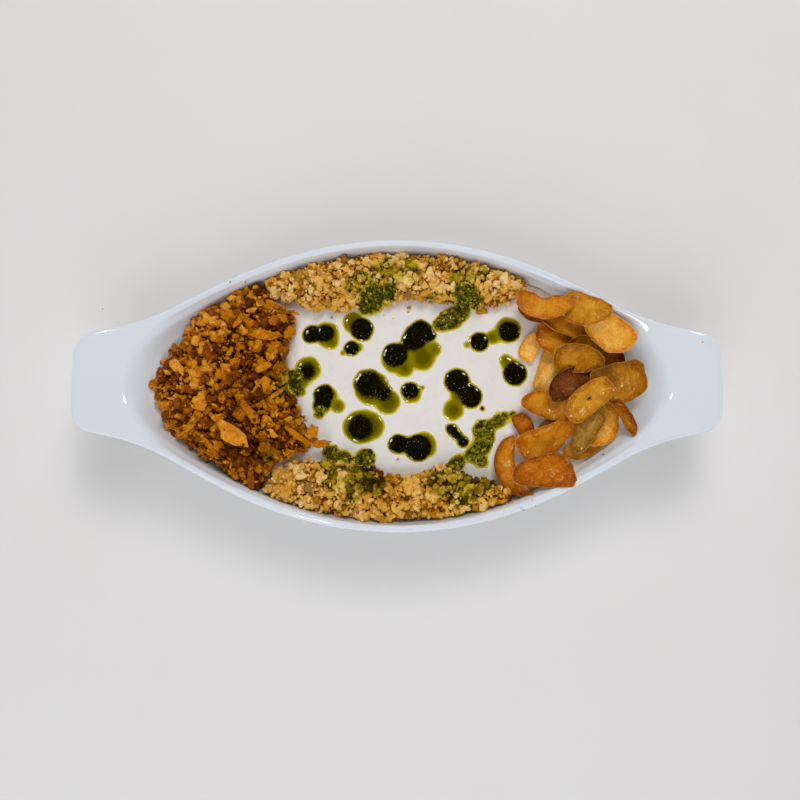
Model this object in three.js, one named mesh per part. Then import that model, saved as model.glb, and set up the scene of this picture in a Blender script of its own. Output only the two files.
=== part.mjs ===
// An eared oval baking dish of eggplant dip. White whey sauce covers the dip, with fried onions heaped at one
// end, crushed walnuts along both long sides and a pile of fried garlic slices at the other end.
// Units are millimetres. The origin is under the centre of the foot ring, +X runs along the dish towards the
// garlic, +Y across it and +Z up.
import * as THREE from "three";

// ---- Driving dimensions -------------------------------------------------------------------------
// Rim outline, drawn from the middle of a long side round to the tip of an ear.
const HALF_LENGTH = 140;
const HALF_WIDTH = 64.3;
const SIDE_RADIUS = 161; // the long side's curve
const SIDE_TURN = 29; // degrees that the side turns before it runs straight
const NECK_RADIUS = 100; // the hollow curve between the body and the ear
const EAR_SLOPE = 12; // degrees between the ear's edge and the dish's axis
const EAR_HALF_WIDTH = 21.6; // where the ear's corner begins
const CORNER_RADIUS = 10;
const TIP_TURN = 4; // degrees left for the slightly bowed end of the ear

// Heights.
const RIM_HEIGHT = 36; // at the middle of a long side
const EAR_RISE = 7; // how much higher the ear's tip stands
const RISE_FROM = 55; // the rise runs between these distances from the middle
const RISE_TO = 135;
const FLOOR_HEIGHT = 5.4; // top of the dish's floor
const FOOT_RECESS = 1.6; // the underside inside the foot ring
const FILL_HEIGHT = 26.5; // top of the dip where it meets the wall

// Inner wall: a cubic curve in each of the two vertical middle planes, as [distance from the middle, height].
const SIDE_WALL = [[36, FLOOR_HEIGHT], [51, FLOOR_HEIGHT], [57.5, 20], [60.8, 33]];
const END_WALL = [[68, FLOOR_HEIGHT], [88, FLOOR_HEIGHT], [106, 22], [114.5, 36.4]];
const SHOULDER_PINCH = 0.07; // how much flatter than an ellipse the lip is between its middle and its end

// Whey sauce.
const SAUCE = { halfLength: 87, halfWidth: 50.5, depth: 3.2, dome: 0.55, wave: 0.02 };

// Clearance between neighbouring solids, and above what a garlic slice is laid on.
const GAP = 0.35;
const REST_GAP = 0.55;

// Mesh density.
const DISH_SEGMENTS = 72;
const DIP_SEGMENTS = 40;
const WALL_STEPS = 7;
const END_CROWDING = 0.2; // draws the segments together at the ears, where the outline turns sharply

const radians = THREE.MathUtils.degToRad;
const { clamp, lerp, smoothstep } = THREE.MathUtils;

// ---- Small tools --------------------------------------------------------------------------------

/** A repeatable value between 0 and 1 for a whole-numbered grid point. */
function gridValue(i, j) {
  const s = Math.sin(i * 127.1 + j * 311.7) * 43758.5453;
  return s - Math.floor(s);
}

/** Smooth noise between -1 and 1 over a plane, with features one unit across. */
function noise(x, y) {
  const i = Math.floor(x);
  const j = Math.floor(y);
  const u = smoothstep(x - i, 0, 1);
  const v = smoothstep(y - j, 0, 1);
  const low = lerp(gridValue(i, j), gridValue(i + 1, j), u);
  const high = lerp(gridValue(i, j + 1), gridValue(i + 1, j + 1), u);
  return 2 * lerp(low, high, v) - 1;
}

/** Point on a cubic curve given by four [a, b] control points. */
function cubic(points, t) {
  const s = 1 - t;
  const weights = [s * s * s, 3 * s * s * t, 3 * s * t * t, t * t * t];
  return [0, 1].map((axis) => points.reduce((sum, p, k) => sum + weights[k] * p[axis], 0));
}

/**
 * A closed solid made of rings of points that run anticlockwise seen from above. The first ring starts on the
 * top pole and the last ends on the bottom pole, so the order is top, outside, underside.
 */
function solidOfRings(topPole, rings, bottomPole) {
  const count = rings[0].length;
  const positions = [topPole, ...rings.flat(), bottomPole].flat();
  const faces = [];
  const at = (ring, k) => 1 + ring * count + (k % count);
  for (let k = 0; k < count; k++) {
    faces.push(0, at(0, k), at(0, k + 1));
    for (let ring = 0; ring + 1 < rings.length; ring++) {
      faces.push(at(ring, k), at(ring + 1, k), at(ring + 1, k + 1));
      faces.push(at(ring, k), at(ring + 1, k + 1), at(ring, k + 1));
    }
    faces.push(1 + rings.length * count, at(rings.length - 1, k + 1), at(rings.length - 1, k));
  }
  const geometry = new THREE.BufferGeometry();
  geometry.setAttribute("position", new THREE.Float32BufferAttribute(positions, 3));
  geometry.setIndex(faces);
  geometry.computeVertexNormals();
  return geometry;
}

function material(colour, roughness) {
  return new THREE.MeshStandardMaterial({ color: colour, roughness, metalness: 0 });
}

function namedMesh(name, geometry, look) {
  const mesh = new THREE.Mesh(geometry, look);
  mesh.name = name;
  return mesh;
}

// ---- Rim outline --------------------------------------------------------------------------------

/** Points along a quarter of the rim, from the middle of a long side to the tip of an ear. */
function quarterOutline() {
  const turn = radians(SIDE_TURN);
  const slope = radians(EAR_SLOPE);
  const tipTurn = radians(TIP_TURN);
  const fall = (a, b) => Math.cos(a) - Math.cos(b);
  const run = (a, b) => Math.sin(b) - Math.sin(a);
  // The corner ends at the tip's own arc, whose centre is on the dish's axis.
  const cornerFall = CORNER_RADIUS * fall(slope, Math.PI / 2 - tipTurn);
  const tipRadius = (EAR_HALF_WIDTH - cornerFall) / Math.sin(tipTurn);
  const cornerStart = HALF_LENGTH - tipRadius * (1 - Math.cos(tipTurn))
    - CORNER_RADIUS * run(slope, Math.PI / 2 - tipTurn);
  // Two straight stretches take up what the curves leave: a x cos + b x cos = run, a x sin + b x sin = fall.
  const runLeft = cornerStart - SIDE_RADIUS * Math.sin(turn) - NECK_RADIUS * run(slope, turn);
  const fallLeft = HALF_WIDTH - EAR_HALF_WIDTH - SIDE_RADIUS * fall(0, turn)
    - NECK_RADIUS * fall(slope, turn);
  const flank = (fallLeft * Math.cos(slope) - runLeft * Math.sin(slope)) / Math.sin(turn - slope);
  const ear = (runLeft - flank * Math.cos(turn)) / Math.cos(slope);
  const points = [[0, HALF_WIDTH]];
  const stretch = (length, heading, headingEnd, steps) => {
    for (let k = 1; k <= steps; k++) {
      const [x, y] = points[points.length - 1];
      const middle = lerp(heading, headingEnd, (k - 0.5) / steps);
      points.push([x + (length / steps) * Math.cos(middle), y - (length / steps) * Math.sin(middle)]);
    }
  };
  const arcSteps = 40;
  stretch(SIDE_RADIUS * turn, 0, turn, arcSteps);
  stretch(flank, turn, turn, 1);
  stretch(NECK_RADIUS * (turn - slope), turn, slope, arcSteps);
  stretch(ear, slope, slope, 1);
  stretch(CORNER_RADIUS * (Math.PI / 2 - tipTurn - slope), slope, Math.PI / 2 - tipTurn, arcSteps);
  stretch(tipRadius * tipTurn, Math.PI / 2 - tipTurn, Math.PI / 2, arcSteps);
  return points;
}

const OUTLINE = quarterOutline();

/** Distance from the middle of the dish to its rim in a direction given in radians. */
function rimRadius(direction) {
  const wanted = Math.atan2(Math.abs(Math.sin(direction)), Math.abs(Math.cos(direction)));
  const angles = OUTLINE.map(([x, y]) => Math.atan2(Math.max(y, 0), x));
  let k = 1;
  while (k < OUTLINE.length - 1 && angles[k] > wanted) k++;
  const share = clamp((angles[k - 1] - wanted) / (angles[k - 1] - angles[k]), 0, 1);
  const x = lerp(OUTLINE[k - 1][0], OUTLINE[k][0], share);
  const y = lerp(OUTLINE[k - 1][1], OUTLINE[k][1], share);
  return Math.hypot(x, y);
}

// ---- Basin --------------------------------------------------------------------------------------

/** Half-length, half-width, pinch and heights of the inner wall's contour at a share of its way up. */
function wallContour(share) {
  const [halfWidth, sideHeight] = cubic(SIDE_WALL, share);
  const [halfLength, endHeight] = cubic(END_WALL, share);
  return { halfLength, halfWidth, pinch: SHOULDER_PINCH * share ** 3, sideHeight, endHeight };
}

/** The inner wall's contour at one height, found by halving. */
function basinAt(height) {
  const solve = (wall) => {
    let low = 0;
    let high = 1;
    for (let k = 0; k < 30; k++) {
      const middle = (low + high) / 2;
      if (cubic(wall, middle)[1] < height) low = middle;
      else high = middle;
    }
    return low;
  };
  const side = solve(SIDE_WALL);
  return {
    halfLength: cubic(END_WALL, solve(END_WALL))[0],
    halfWidth: cubic(SIDE_WALL, side)[0],
    pinch: SHOULDER_PINCH * side ** 3,
  };
}

/** Point of a contour at parameter t, drawn in by an inset. */
function contourPoint({ halfLength, halfWidth, pinch }, t, inset = 0) {
  const shrink = 1 - pinch * Math.sin(2 * t) ** 2;
  return [(halfLength - inset) * Math.cos(t) * shrink, (halfWidth - inset) * Math.sin(t) * shrink];
}

// ---- Dish ---------------------------------------------------------------------------------------

// The lip's contour, between the basin's wall and the rim.
const LIP = { halfLength: 118.5, halfWidth: 61.3, pinch: SHOULDER_PINCH };

// Stations over the rim, from the lip outwards: how much of the rim's own outline the ring has taken up, how
// far it lies inside that outline, and its height below the rim at a side and at an ear.
const RIM_STATIONS = [
  { blend: 0, inset: 0, side: -0.9, ear: -3.4 },
  { blend: 0.35, inset: 2.4, side: -0.25, ear: -1.7 },
  { blend: 1, inset: 1.9, side: 0, ear: 0 },
  { blend: 1, inset: 0.55, side: -0.45, ear: -0.45 },
  { blend: 1, inset: 0, side: -1.7, ear: -1.7 },
  { blend: 1, inset: 0.5, side: -3.2, ear: -3.6 },
  { blend: 1, inset: 1.5, side: -6, ear: -5 },
];

// Outer wall and foot ring, from the root of the ear down: [half-width, height] at a side and
// [half-length, height] at an end.
const OUTSIDE_STATIONS = [
  { side: [61.6, 24], end: [118, 32.4] },
  { side: [58.8, 15], end: [109, 22.5] },
  { side: [53.6, 7.2], end: [98, 10.5] },
  { side: [47, 2.7], end: [86, 3.4] },
  { side: [43.2, 1.5], end: [77, 1.5] },
  { side: [42.4, 0], end: [76.2, 0] },
  { side: [38.4, 0], end: [72.2, 0] },
  { side: [37.4, FOOT_RECESS], end: [71.2, FOOT_RECESS] },
];

/** Ring parameters, closer together at the ears. */
function ringParameters(count) {
  return Array.from({ length: count }, (_, k) => {
    const even = (2 * Math.PI * k) / count;
    return even - END_CROWDING * Math.sin(2 * even);
  });
}

/** How far the rise towards the ears has gone, from 0 to 1, along the direction of parameter t. */
function earShare(t) {
  const [x, y] = contourPoint(LIP, t);
  const direction = Math.atan2(y, x);
  return smoothstep(Math.abs(rimRadius(direction) * Math.cos(direction)), RISE_FROM, RISE_TO);
}

/** Ring of the dish's rim at a station. */
function rimRing(station, parameters) {
  return parameters.map((t) => {
    const [lipX, lipY] = contourPoint(LIP, t);
    const direction = Math.atan2(lipY, lipX);
    const rise = earShare(t);
    const reach = lerp(Math.hypot(lipX, lipY), rimRadius(direction) - station.inset, station.blend);
    const height = RIM_HEIGHT + EAR_RISE * rise + lerp(station.side, station.ear, rise);
    return [reach * Math.cos(direction), reach * Math.sin(direction), height];
  });
}

/** Ring of the dish's outside at a station. The pinch fades from the lip's towards the foot. */
function outsideRing(station, order, parameters) {
  const pinch = SHOULDER_PINCH * (1 - order / OUTSIDE_STATIONS.length) ** 2;
  const contour = { halfLength: station.end[0], halfWidth: station.side[0], pinch };
  return parameters.map((t) => {
    const height = lerp(station.side[1], station.end[1], earShare(t));
    return [...contourPoint(contour, t), height];
  });
}

/** Rings up the inner wall, from the floor to just below the lip. */
function wallRings(parameters) {
  return Array.from({ length: WALL_STEPS + 1 }, (_, step) => {
    const contour = wallContour(step / WALL_STEPS);
    return parameters.map((t) => {
      const height = lerp(contour.sideHeight, contour.endHeight, earShare(t));
      return [...contourPoint(contour, t), height];
    });
  });
}

function makeDish() {
  const parameters = ringParameters(DISH_SEGMENTS);
  const rings = [
    ...wallRings(parameters),
    ...RIM_STATIONS.map((station) => rimRing(station, parameters)),
    ...OUTSIDE_STATIONS.map((station, order) => outsideRing(station, order, parameters)),
  ];
  const geometry = solidOfRings([0, 0, FLOOR_HEIGHT], rings, [0, 0, FOOT_RECESS]);
  return namedMesh("dish", geometry, material(0xdfe4ea, 0.12));
}

// ---- Dip and whey sauce -------------------------------------------------------------------------

/** The sauce's wavy edge at parameter t, moved outwards by a margin. */
function sauceEdge(t, margin) {
  const ripple = 1 + SAUCE.wave * (Math.sin(3 * t + 0.6) + 0.6 * Math.sin(7 * t + 2));
  return [
    (SAUCE.halfLength * ripple + margin) * Math.cos(t),
    (SAUCE.halfWidth * ripple + margin) * Math.sin(t),
  ];
}

/** Dip: fills the basin to its level, with a shallow well that holds the sauce. */
function makeDip() {
  const parameters = ringParameters(DIP_SEGMENTS);
  const wellFloor = FILL_HEIGHT - SAUCE.depth;
  const topContour = basinAt(FILL_HEIGHT);
  const wellRing = (share, height) => parameters.map((t) => {
    const [x, y] = sauceEdge(t, GAP);
    return [x * share, y * share, height];
  });
  const wallSteps = [1, 0.75, 0.5, 0.25, 0];
  const highestShare = 0.8; // where the wall's curve reaches the dip's level
  const rings = [
    wellRing(0.5, wellFloor),
    wellRing(0.98, wellFloor),
    wellRing(1, FILL_HEIGHT - 0.5),
    wellRing(1.01, FILL_HEIGHT),
    parameters.map((t) => [...contourPoint(topContour, t, 2.2), FILL_HEIGHT]),
    parameters.map((t) => [...contourPoint(topContour, t, 0.7), FILL_HEIGHT - 0.6]),
    ...wallSteps.slice(1).map((step) => {
      const contour = wallContour(step * highestShare);
      return parameters.map((t) => {
        const height = lerp(contour.sideHeight, contour.endHeight, earShare(t));
        return [...contourPoint(contour, t, 2 * GAP), height + GAP];
      });
    }),
  ];
  const geometry = solidOfRings([0, 0, wellFloor], rings, [0, 0, FLOOR_HEIGHT + GAP]);
  return namedMesh("eggplant_dip", geometry, material(0x6f5a2c, 0.5));
}

/** Height of the sauce's surface at a share of the way out to its edge. */
function sauceHeight(share, x, y) {
  const ripple = 0.12 * noise(x / 14, y / 14) * (1 - share);
  return FILL_HEIGHT + SAUCE.dome * (1 - share ** 2) + ripple;
}

/** White whey sauce: a wide flat pool in the dip's well. */
function makeSauce() {
  const parameters = ringParameters(DIP_SEGMENTS);
  const topRing = (share) => parameters.map((t) => {
    const [x, y] = sauceEdge(t, 0).map((value) => value * share);
    return [x, y, sauceHeight(share, x, y)];
  });
  const underRing = (share, height) => parameters.map((t) => {
    const [x, y] = sauceEdge(t, 0);
    return [x * share, y * share, height];
  });
  const underside = FILL_HEIGHT - SAUCE.depth + GAP;
  const rings = [
    ...[0.3, 0.6, 0.85].map(topRing),
    underRing(0.99, FILL_HEIGHT),
    underRing(0.995, FILL_HEIGHT - 0.8),
    underRing(0.97, underside),
  ];
  const geometry = solidOfRings([0, 0, sauceHeight(0, 0, 0)], rings, [0, 0, underside]);
  return namedMesh("whey_sauce", geometry, material(0xeae3d8, 0.35));
}

// ---- Heaps --------------------------------------------------------------------------------------

// Each heap fills the space between the dish's wall and its own inner edge, given here by points that run
// anticlockwise from wall to wall. The heap rises towards a short ridge. Each of its hollows leaves some of the
// wall bare: where along the wall its middle is, as a share, its width as a share, and its depth.
const HEAP_BASE = FILL_HEIGHT + 0.6;
const HEAPS = [
  {
    name: "fried_onions",
    inner: [
      [-60.5, -46.3], [-57, -39.5], [-44.5, -31.3], [-36.2, -25.4], [-42, -13], [-46.5, 2],
      [-50.4, 11], [-45.4, 23], [-46, 32], [-59, 41.5], [-61.5, 45.5],
    ],
    ridge: [[-77, -14], [-75, 13]],
    hollows: [{ at: 0.36, width: 0.16, depth: 4.4 }, { at: 0.56, width: 0.2, depth: 1.6 }],
    height: 11.5, edge: 3.2, lump: 1.6, grain: 6.5,
    innerSegments: 30, wallSegments: 26, shares: [0.22, 0.42, 0.6, 0.76, 0.9],
    colour: 0xa9640f,
  },
  {
    name: "walnuts_back",
    inner: [
      [-58.5, 46.8], [-56.3, 42.3], [-43.4, 36.3], [-18.8, 34.2], [10.2, 39.2],
      [26, 36.4], [46, 36.4], [55.5, 41], [58, 47],
    ],
    ridge: [[-40, 45.5], [40, 45.5]],
    hollows: [],
    height: 6.4, edge: 3, lump: 0.9, grain: 4.5,
    innerSegments: 28, wallSegments: 22, shares: [0.34, 0.66, 0.88],
    colour: 0xb89a52,
  },
  {
    name: "walnuts_front",
    inner: [
      [50, -50], [47.3, -45.5], [33, -40.5], [20.5, -34.8], [11, -39.5], [-3, -41.3],
      [-20, -33], [-33, -34.3], [-43, -33.2], [-55, -41], [-58.3, -47],
    ],
    ridge: [[-42, -45.5], [34, -48.5]],
    hollows: [],
    height: 6.8, edge: 3, lump: 0.9, grain: 4.5,
    innerSegments: 28, wallSegments: 22, shares: [0.34, 0.66, 0.88],
    colour: 0xc2a05e,
  },
];

/** A heap's outline at one height: its inner edge, slightly ragged, and then the wall back to its start. */
function heapOutline(heap, height) {
  const wall = basinAt(height);
  const wallParameter = ([x, y]) => Math.atan2(y / wall.halfWidth, x / wall.halfLength);
  const curve = new THREE.CatmullRomCurve3(heap.inner.map(([x, y]) => new THREE.Vector3(x, y, 0)));
  const inner = curve.getSpacedPoints(heap.innerSegments).map(({ x, y }) => [
    x + 0.5 * noise(x / 3, y / 3),
    y + 0.5 * noise(y / 3 + 40, x / 3),
  ]);
  const from = wallParameter(inner[inner.length - 1]);
  const turn = (wallParameter(inner[0]) - from + 2 * Math.PI) % (2 * Math.PI);
  const bare = ({ at, width, depth }, share) => depth * smoothstep(1 - Math.abs(share - at) / width, 0, 1);
  const outer = Array.from({ length: heap.wallSegments - 1 }, (_, k) => {
    const share = (k + 1) / heap.wallSegments;
    const hollow = heap.hollows.reduce((sum, each) => sum + bare(each, share), 0);
    const inset = 2.2 * GAP + 0.3 * (1 + noise(40 * share, 3)) + hollow;
    return contourPoint(wall, from + turn * share, inset);
  });
  return [...inner, ...outer];
}

/** Nearest point of a heap's ridge. */
function ridgePoint({ ridge: [[ax, ay], [bx, by]] }, [x, y]) {
  const along = ((x - ax) * (bx - ax) + (y - ay) * (by - ay)) / ((bx - ax) ** 2 + (by - ay) ** 2);
  const share = clamp(along, 0, 1);
  return [lerp(ax, bx, share), lerp(ay, by, share)];
}

/** A heap of crumbs or shreds out to its uneven outline, leaning on the wall, with a lumpy crown. */
function makeHeap(heap) {
  const edge = heapOutline(heap, HEAP_BASE + heap.edge);
  const foot = heapOutline(heap, HEAP_BASE);
  const surface = (share, x, y) => {
    const crown = (heap.height - heap.edge) * (1 - share ** 2.4) ** 0.75;
    const lumps = heap.lump * noise(x / heap.grain, y / heap.grain) * smoothstep(share, 0, 0.5);
    return HEAP_BASE + Math.max(heap.edge - 0.5, heap.edge + crown + lumps);
  };
  const crownRing = (share) => edge.map((point) => {
    const [x, y] = ridgePoint(heap, point).map((value, axis) => lerp(value, point[axis], share));
    return [x, y, surface(share, x, y)];
  });
  const flatRing = (outline, share, height) => outline.map((point) => {
    const [x, y] = ridgePoint(heap, point).map((value, axis) => lerp(value, point[axis], share));
    return [x, y, HEAP_BASE + height];
  });
  const [x, y] = [0, 1].map((axis) => (heap.ridge[0][axis] + heap.ridge[1][axis]) / 2);
  const rings = [
    ...heap.shares.map(crownRing),
    crownRing(0.985),
    flatRing(edge, 1, heap.edge - 0.9),
    flatRing(foot, 0.99, 0),
  ];
  const geometry = solidOfRings([x, y, surface(0, x, y)], rings, [x, y, HEAP_BASE]);
  return namedMesh(heap.name, geometry, material(heap.colour, 0.75));
}

// ---- Garlic -------------------------------------------------------------------------------------

const SLICE_THICKNESS = 1.7;
const SLICE_SEGMENTS = 12;
const SLICE_FULLNESS = 0.8; // below 1 the outline is fuller at its corners than an ellipse
const MOST_LEAN = radians(24);

// The slices from the bottom of the pile to its top. Sizes in millimetres, yaw in degrees.
// bow bends the slice like a banana, cup lifts its long edges, arch lifts its ends and twist turns one end.
const SLICES = [
  { x: 60, y: 17.4, length: 14, width: 7.6, yaw: 58, bow: 0.5, cup: 0.4, arch: 0.4, twist: 0 },
  { x: 67, y: 9.6, length: 16, width: 8, yaw: 76, bow: -0.6, cup: 0.6, arch: 0.3, twist: 0 },
  { x: 66.6, y: 2.6, length: 15, width: 10, yaw: 60, bow: 0.7, cup: 0.5, arch: 0.5, twist: 0.2 },
  { x: 56.4, y: -20, length: 15, width: 7.4, yaw: -66, bow: 0.6, cup: 0.4, arch: 0.4, twist: 0 },
  { x: 82.5, y: -26.6, length: 18, width: 8, yaw: 27, bow: -0.9, cup: 0.6, arch: 0.5, twist: 0 },
  { x: 62.6, y: 33.2, length: 17, width: 8, yaw: -14, bow: -0.8, cup: 0.4, arch: 0.4, twist: 0 },
  { x: 70.2, y: -17.6, length: 16, width: 8, yaw: 34, bow: 0.4, cup: 0.4, arch: 0.3, twist: 0 },
  { x: 90.6, y: -17.4, length: 19, width: 10, yaw: 66, bow: -1.2, cup: 0.9, arch: 0.4, twist: 0.3 },
  { x: 97.6, y: -15.4, length: 18, width: 5.4, yaw: -58, bow: 0.9, cup: 1.2, arch: 0.6, twist: 0.5 },
  { x: 71, y: 19.4, length: 20, width: 11, yaw: -22, bow: -0.6, cup: 0.8, arch: 0.5, twist: 0 },
  { x: 94.2, y: 12, length: 15, width: 9, yaw: -42, bow: 0.9, cup: 1.3, arch: 0.7, twist: -0.4 },
  { x: 66.6, y: -9.8, length: 21, width: 10.4, yaw: -16, bow: 0.5, cup: 0.9, arch: 0.6, twist: 0.3 },
  { x: 76, y: 0.6, length: 22.5, width: 9.6, yaw: 28, bow: 0.5, cup: 0.7, arch: 0.8, twist: -0.3 },
  { x: 50, y: -36.5, length: 24.5, width: 6.8, yaw: -74, bow: -3.1, cup: 1.1, arch: 0.4, twist: 0 },
  { x: 76.3, y: 22.9, length: 26, width: 8, yaw: -27, bow: 0.8, cup: 0.8, arch: 0.7, twist: 0.4 },
  { x: 83, y: 16.6, length: 15, width: 7.4, yaw: -18, bow: 1.3, cup: 1, arch: -0.4, twist: 0 },
  { x: 79, y: 11.2, length: 20.5, width: 12, yaw: -5, bow: 0.5, cup: 0.9, arch: 0.7, twist: -0.2 },
  { x: 96.6, y: 1.2, length: 22, width: 16.2, yaw: 14, bow: -1.2, cup: 1.6, arch: 1, twist: 0.3 },
  { x: 83.2, y: -20.4, length: 20.5, width: 9.8, yaw: 62, bow: 0.6, cup: 0.9, arch: 0.4, twist: 0 },
  { x: 66.2, y: -22.8, length: 27, width: 11.8, yaw: 31, bow: -0.9, cup: 1.1, arch: 0.5, twist: 0.4 },
  { x: 63.6, y: -37, length: 25, width: 14.6, yaw: 5, bow: 1, cup: 1.4, arch: 0.5, twist: -0.3 },
  { x: 92.6, y: 23.4, length: 22.5, width: 14, yaw: -36, bow: -0.6, cup: 0.9, arch: 0.6, twist: 0.3 },
  { x: 83.8, y: 32, length: 20.8, width: 12.2, yaw: -12, bow: -0.7, cup: 1, arch: 0.8, twist: -0.3 },
  { x: 64.2, y: 34.7, length: 22.4, width: 11.6, yaw: -4, bow: -1.2, cup: 1.1, arch: 0.9, twist: 0.3 },
  { x: 83.2, y: -7.4, length: 22.5, width: 11, yaw: 34, bow: 0.6, cup: -0.8, arch: -0.5, twist: 0.3 },
];

/** A fried slice of a garlic clove, lying flat about its own middle, one end a little more pointed. */
function sliceGeometry({ length, width, bow, cup, arch, twist }, number) {
  const directions = Array.from({ length: SLICE_SEGMENTS }, (_, k) => (2 * Math.PI * k) / SLICE_SEGMENTS);
  const fuller = (value) => Math.sign(value) * Math.abs(value) ** SLICE_FULLNESS;
  const point = (share, direction, side) => {
    const along = fuller(Math.cos(direction)) * share;
    const across = fuller(Math.sin(direction)) * share * (1 - 0.16 * along);
    const wobble = 1 + 0.04 * share * noise(3 * Math.cos(direction) + number * 7, 3 * Math.sin(direction));
    const relief = cup * across ** 2 + arch * along ** 2 + twist * 2 * along * across;
    return [
      (length / 2) * along * wobble,
      (width / 2) * across * wobble + bow * (1 - 2 * along ** 2),
      relief + side,
    ];
  };
  const ring = (share, side) => directions.map((direction) => point(share, direction, side));
  const half = SLICE_THICKNESS / 2;
  const rings = [
    ring(0.5, 0.85 * half),
    ring(0.88, half),
    ring(1, 0),
    ring(0.88, -half),
    ring(0.5, -0.85 * half),
  ];
  return solidOfRings(point(0, 0, 0.75 * half), rings, point(0, 0, -0.75 * half));
}

/** A map of the highest surface over the dish, used to lay each slice on what is already there. */
class PileMap {
  constructor(cell = 0.35) {
    this.cell = cell;
    this.columns = Math.ceil((2 * HALF_LENGTH) / cell);
    this.rows = Math.ceil((2 * HALF_WIDTH) / cell);
    this.top = new Float32Array(this.columns * this.rows);
  }

  /** Calls visit(cell index, x, y, height) for each cell under each triangle of a mesh. */
  eachCell(mesh, visit) {
    mesh.updateMatrixWorld(true);
    const flat = mesh.geometry.toNonIndexed().applyMatrix4(mesh.matrixWorld).getAttribute("position");
    for (let k = 0; k < flat.count; k += 3) {
      const [a, b, c] = [0, 1, 2].map((n) => new THREE.Vector3().fromBufferAttribute(flat, k + n));
      const area = (b.x - a.x) * (c.y - a.y) - (c.x - a.x) * (b.y - a.y);
      if (Math.abs(area) < 1e-9) continue;
      const column = (x) => Math.round((x + HALF_LENGTH) / this.cell);
      const row = (y) => Math.round((y + HALF_WIDTH) / this.cell);
      for (let i = column(Math.min(a.x, b.x, c.x)); i <= column(Math.max(a.x, b.x, c.x)); i++) {
        for (let j = row(Math.min(a.y, b.y, c.y)); j <= row(Math.max(a.y, b.y, c.y)); j++) {
          if (i < 0 || j < 0 || i >= this.columns || j >= this.rows) continue;
          const x = i * this.cell - HALF_LENGTH;
          const y = j * this.cell - HALF_WIDTH;
          const u = ((b.x - x) * (c.y - y) - (c.x - x) * (b.y - y)) / area;
          const v = ((c.x - x) * (a.y - y) - (a.x - x) * (c.y - y)) / area;
          if (u < -0.02 || v < -0.02 || u + v > 1.02) continue;
          visit(j * this.columns + i, x, y, u * a.z + v * b.z + (1 - u - v) * c.z);
        }
      }
    }
  }

  add(mesh) {
    this.eachCell(mesh, (index, x, y, height) => {
      this.top[index] = Math.max(this.top[index], height);
    });
  }

  /** Upward normal of the plane that fits the surface under a mesh best. */
  slopeUnder(mesh) {
    const cells = new Map();
    this.eachCell(mesh, (index, x, y) => cells.set(index, [x - mesh.position.x, y - mesh.position.y]));
    const sums = { n: 0, x: 0, y: 0, z: 0, xx: 0, xy: 0, yy: 0, xz: 0, yz: 0 };
    for (const [index, [x, y]] of cells) {
      const z = this.top[index];
      const terms = { n: 1, x, y, z, xx: x * x, xy: x * y, yy: y * y, xz: x * z, yz: y * z };
      for (const key of Object.keys(sums)) sums[key] += terms[key];
    }
    const fit = new THREE.Matrix3().set(
      sums.n, sums.x, sums.y,
      sums.x, sums.xx, sums.xy,
      sums.y, sums.xy, sums.yy,
    ).invert();
    const plane = new THREE.Vector3(sums.z, sums.xz, sums.yz).applyMatrix3(fit);
    const slope = new THREE.Vector2(plane.y, plane.z).clampLength(0, Math.tan(MOST_LEAN));
    return new THREE.Vector3(-slope.x, -slope.y, 1).normalize();
  }

  /** Raises or lowers a mesh until it just clears the surface under it. */
  drop(mesh) {
    let lift = -Infinity;
    this.eachCell(mesh, (index, x, y, height) => {
      lift = Math.max(lift, this.top[index] - height);
    });
    mesh.position.z += lift + REST_GAP;
    this.add(mesh);
  }
}

/** The garlic slices, each leaning the way the pile slopes and lowered onto it. */
function makeGarlic(support) {
  const pile = new PileMap();
  support.forEach((mesh) => pile.add(mesh));
  return SLICES.map((slice, number) => {
    const name = `garlic_${String(number + 1).padStart(2, "0")}`;
    const mesh = namedMesh(name, sliceGeometry(slice, number), material(0xc08426, 0.45));
    const upright = new THREE.Vector3(0, 0, 1);
    mesh.position.set(slice.x, slice.y, 0);
    mesh.quaternion.setFromAxisAngle(upright, radians(slice.yaw));
    const lean = new THREE.Quaternion().setFromUnitVectors(upright, pile.slopeUnder(mesh));
    mesh.quaternion.premultiply(lean);
    pile.drop(mesh);
    return mesh;
  });
}

// ---- Object -------------------------------------------------------------------------------------

const dish = makeDish();
const food = [makeDip(), makeSauce(), ...HEAPS.map(makeHeap)];
const servedDish = new THREE.Group();
servedDish.add(dish, ...food, ...makeGarlic([dish, ...food]));

export default servedDish;
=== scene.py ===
"""Looks of an eared oval baking dish of eggplant dip.

White whey sauce with drops of mint oil covers the dip. Fried onions are heaped at one end, crushed walnuts
lie along both long sides and fried garlic slices are piled at the other end. Shapes are worked out in
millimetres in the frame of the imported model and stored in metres. Every piece rides on the one body.
"""

import functools
import itertools
import logging
import math
from collections.abc import Callable, Sequence
from dataclasses import dataclass, field
from enum import Enum

import bmesh
import bpy
import numpy as np
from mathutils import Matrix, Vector
from mathutils.bvhtree import BVHTree


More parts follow.
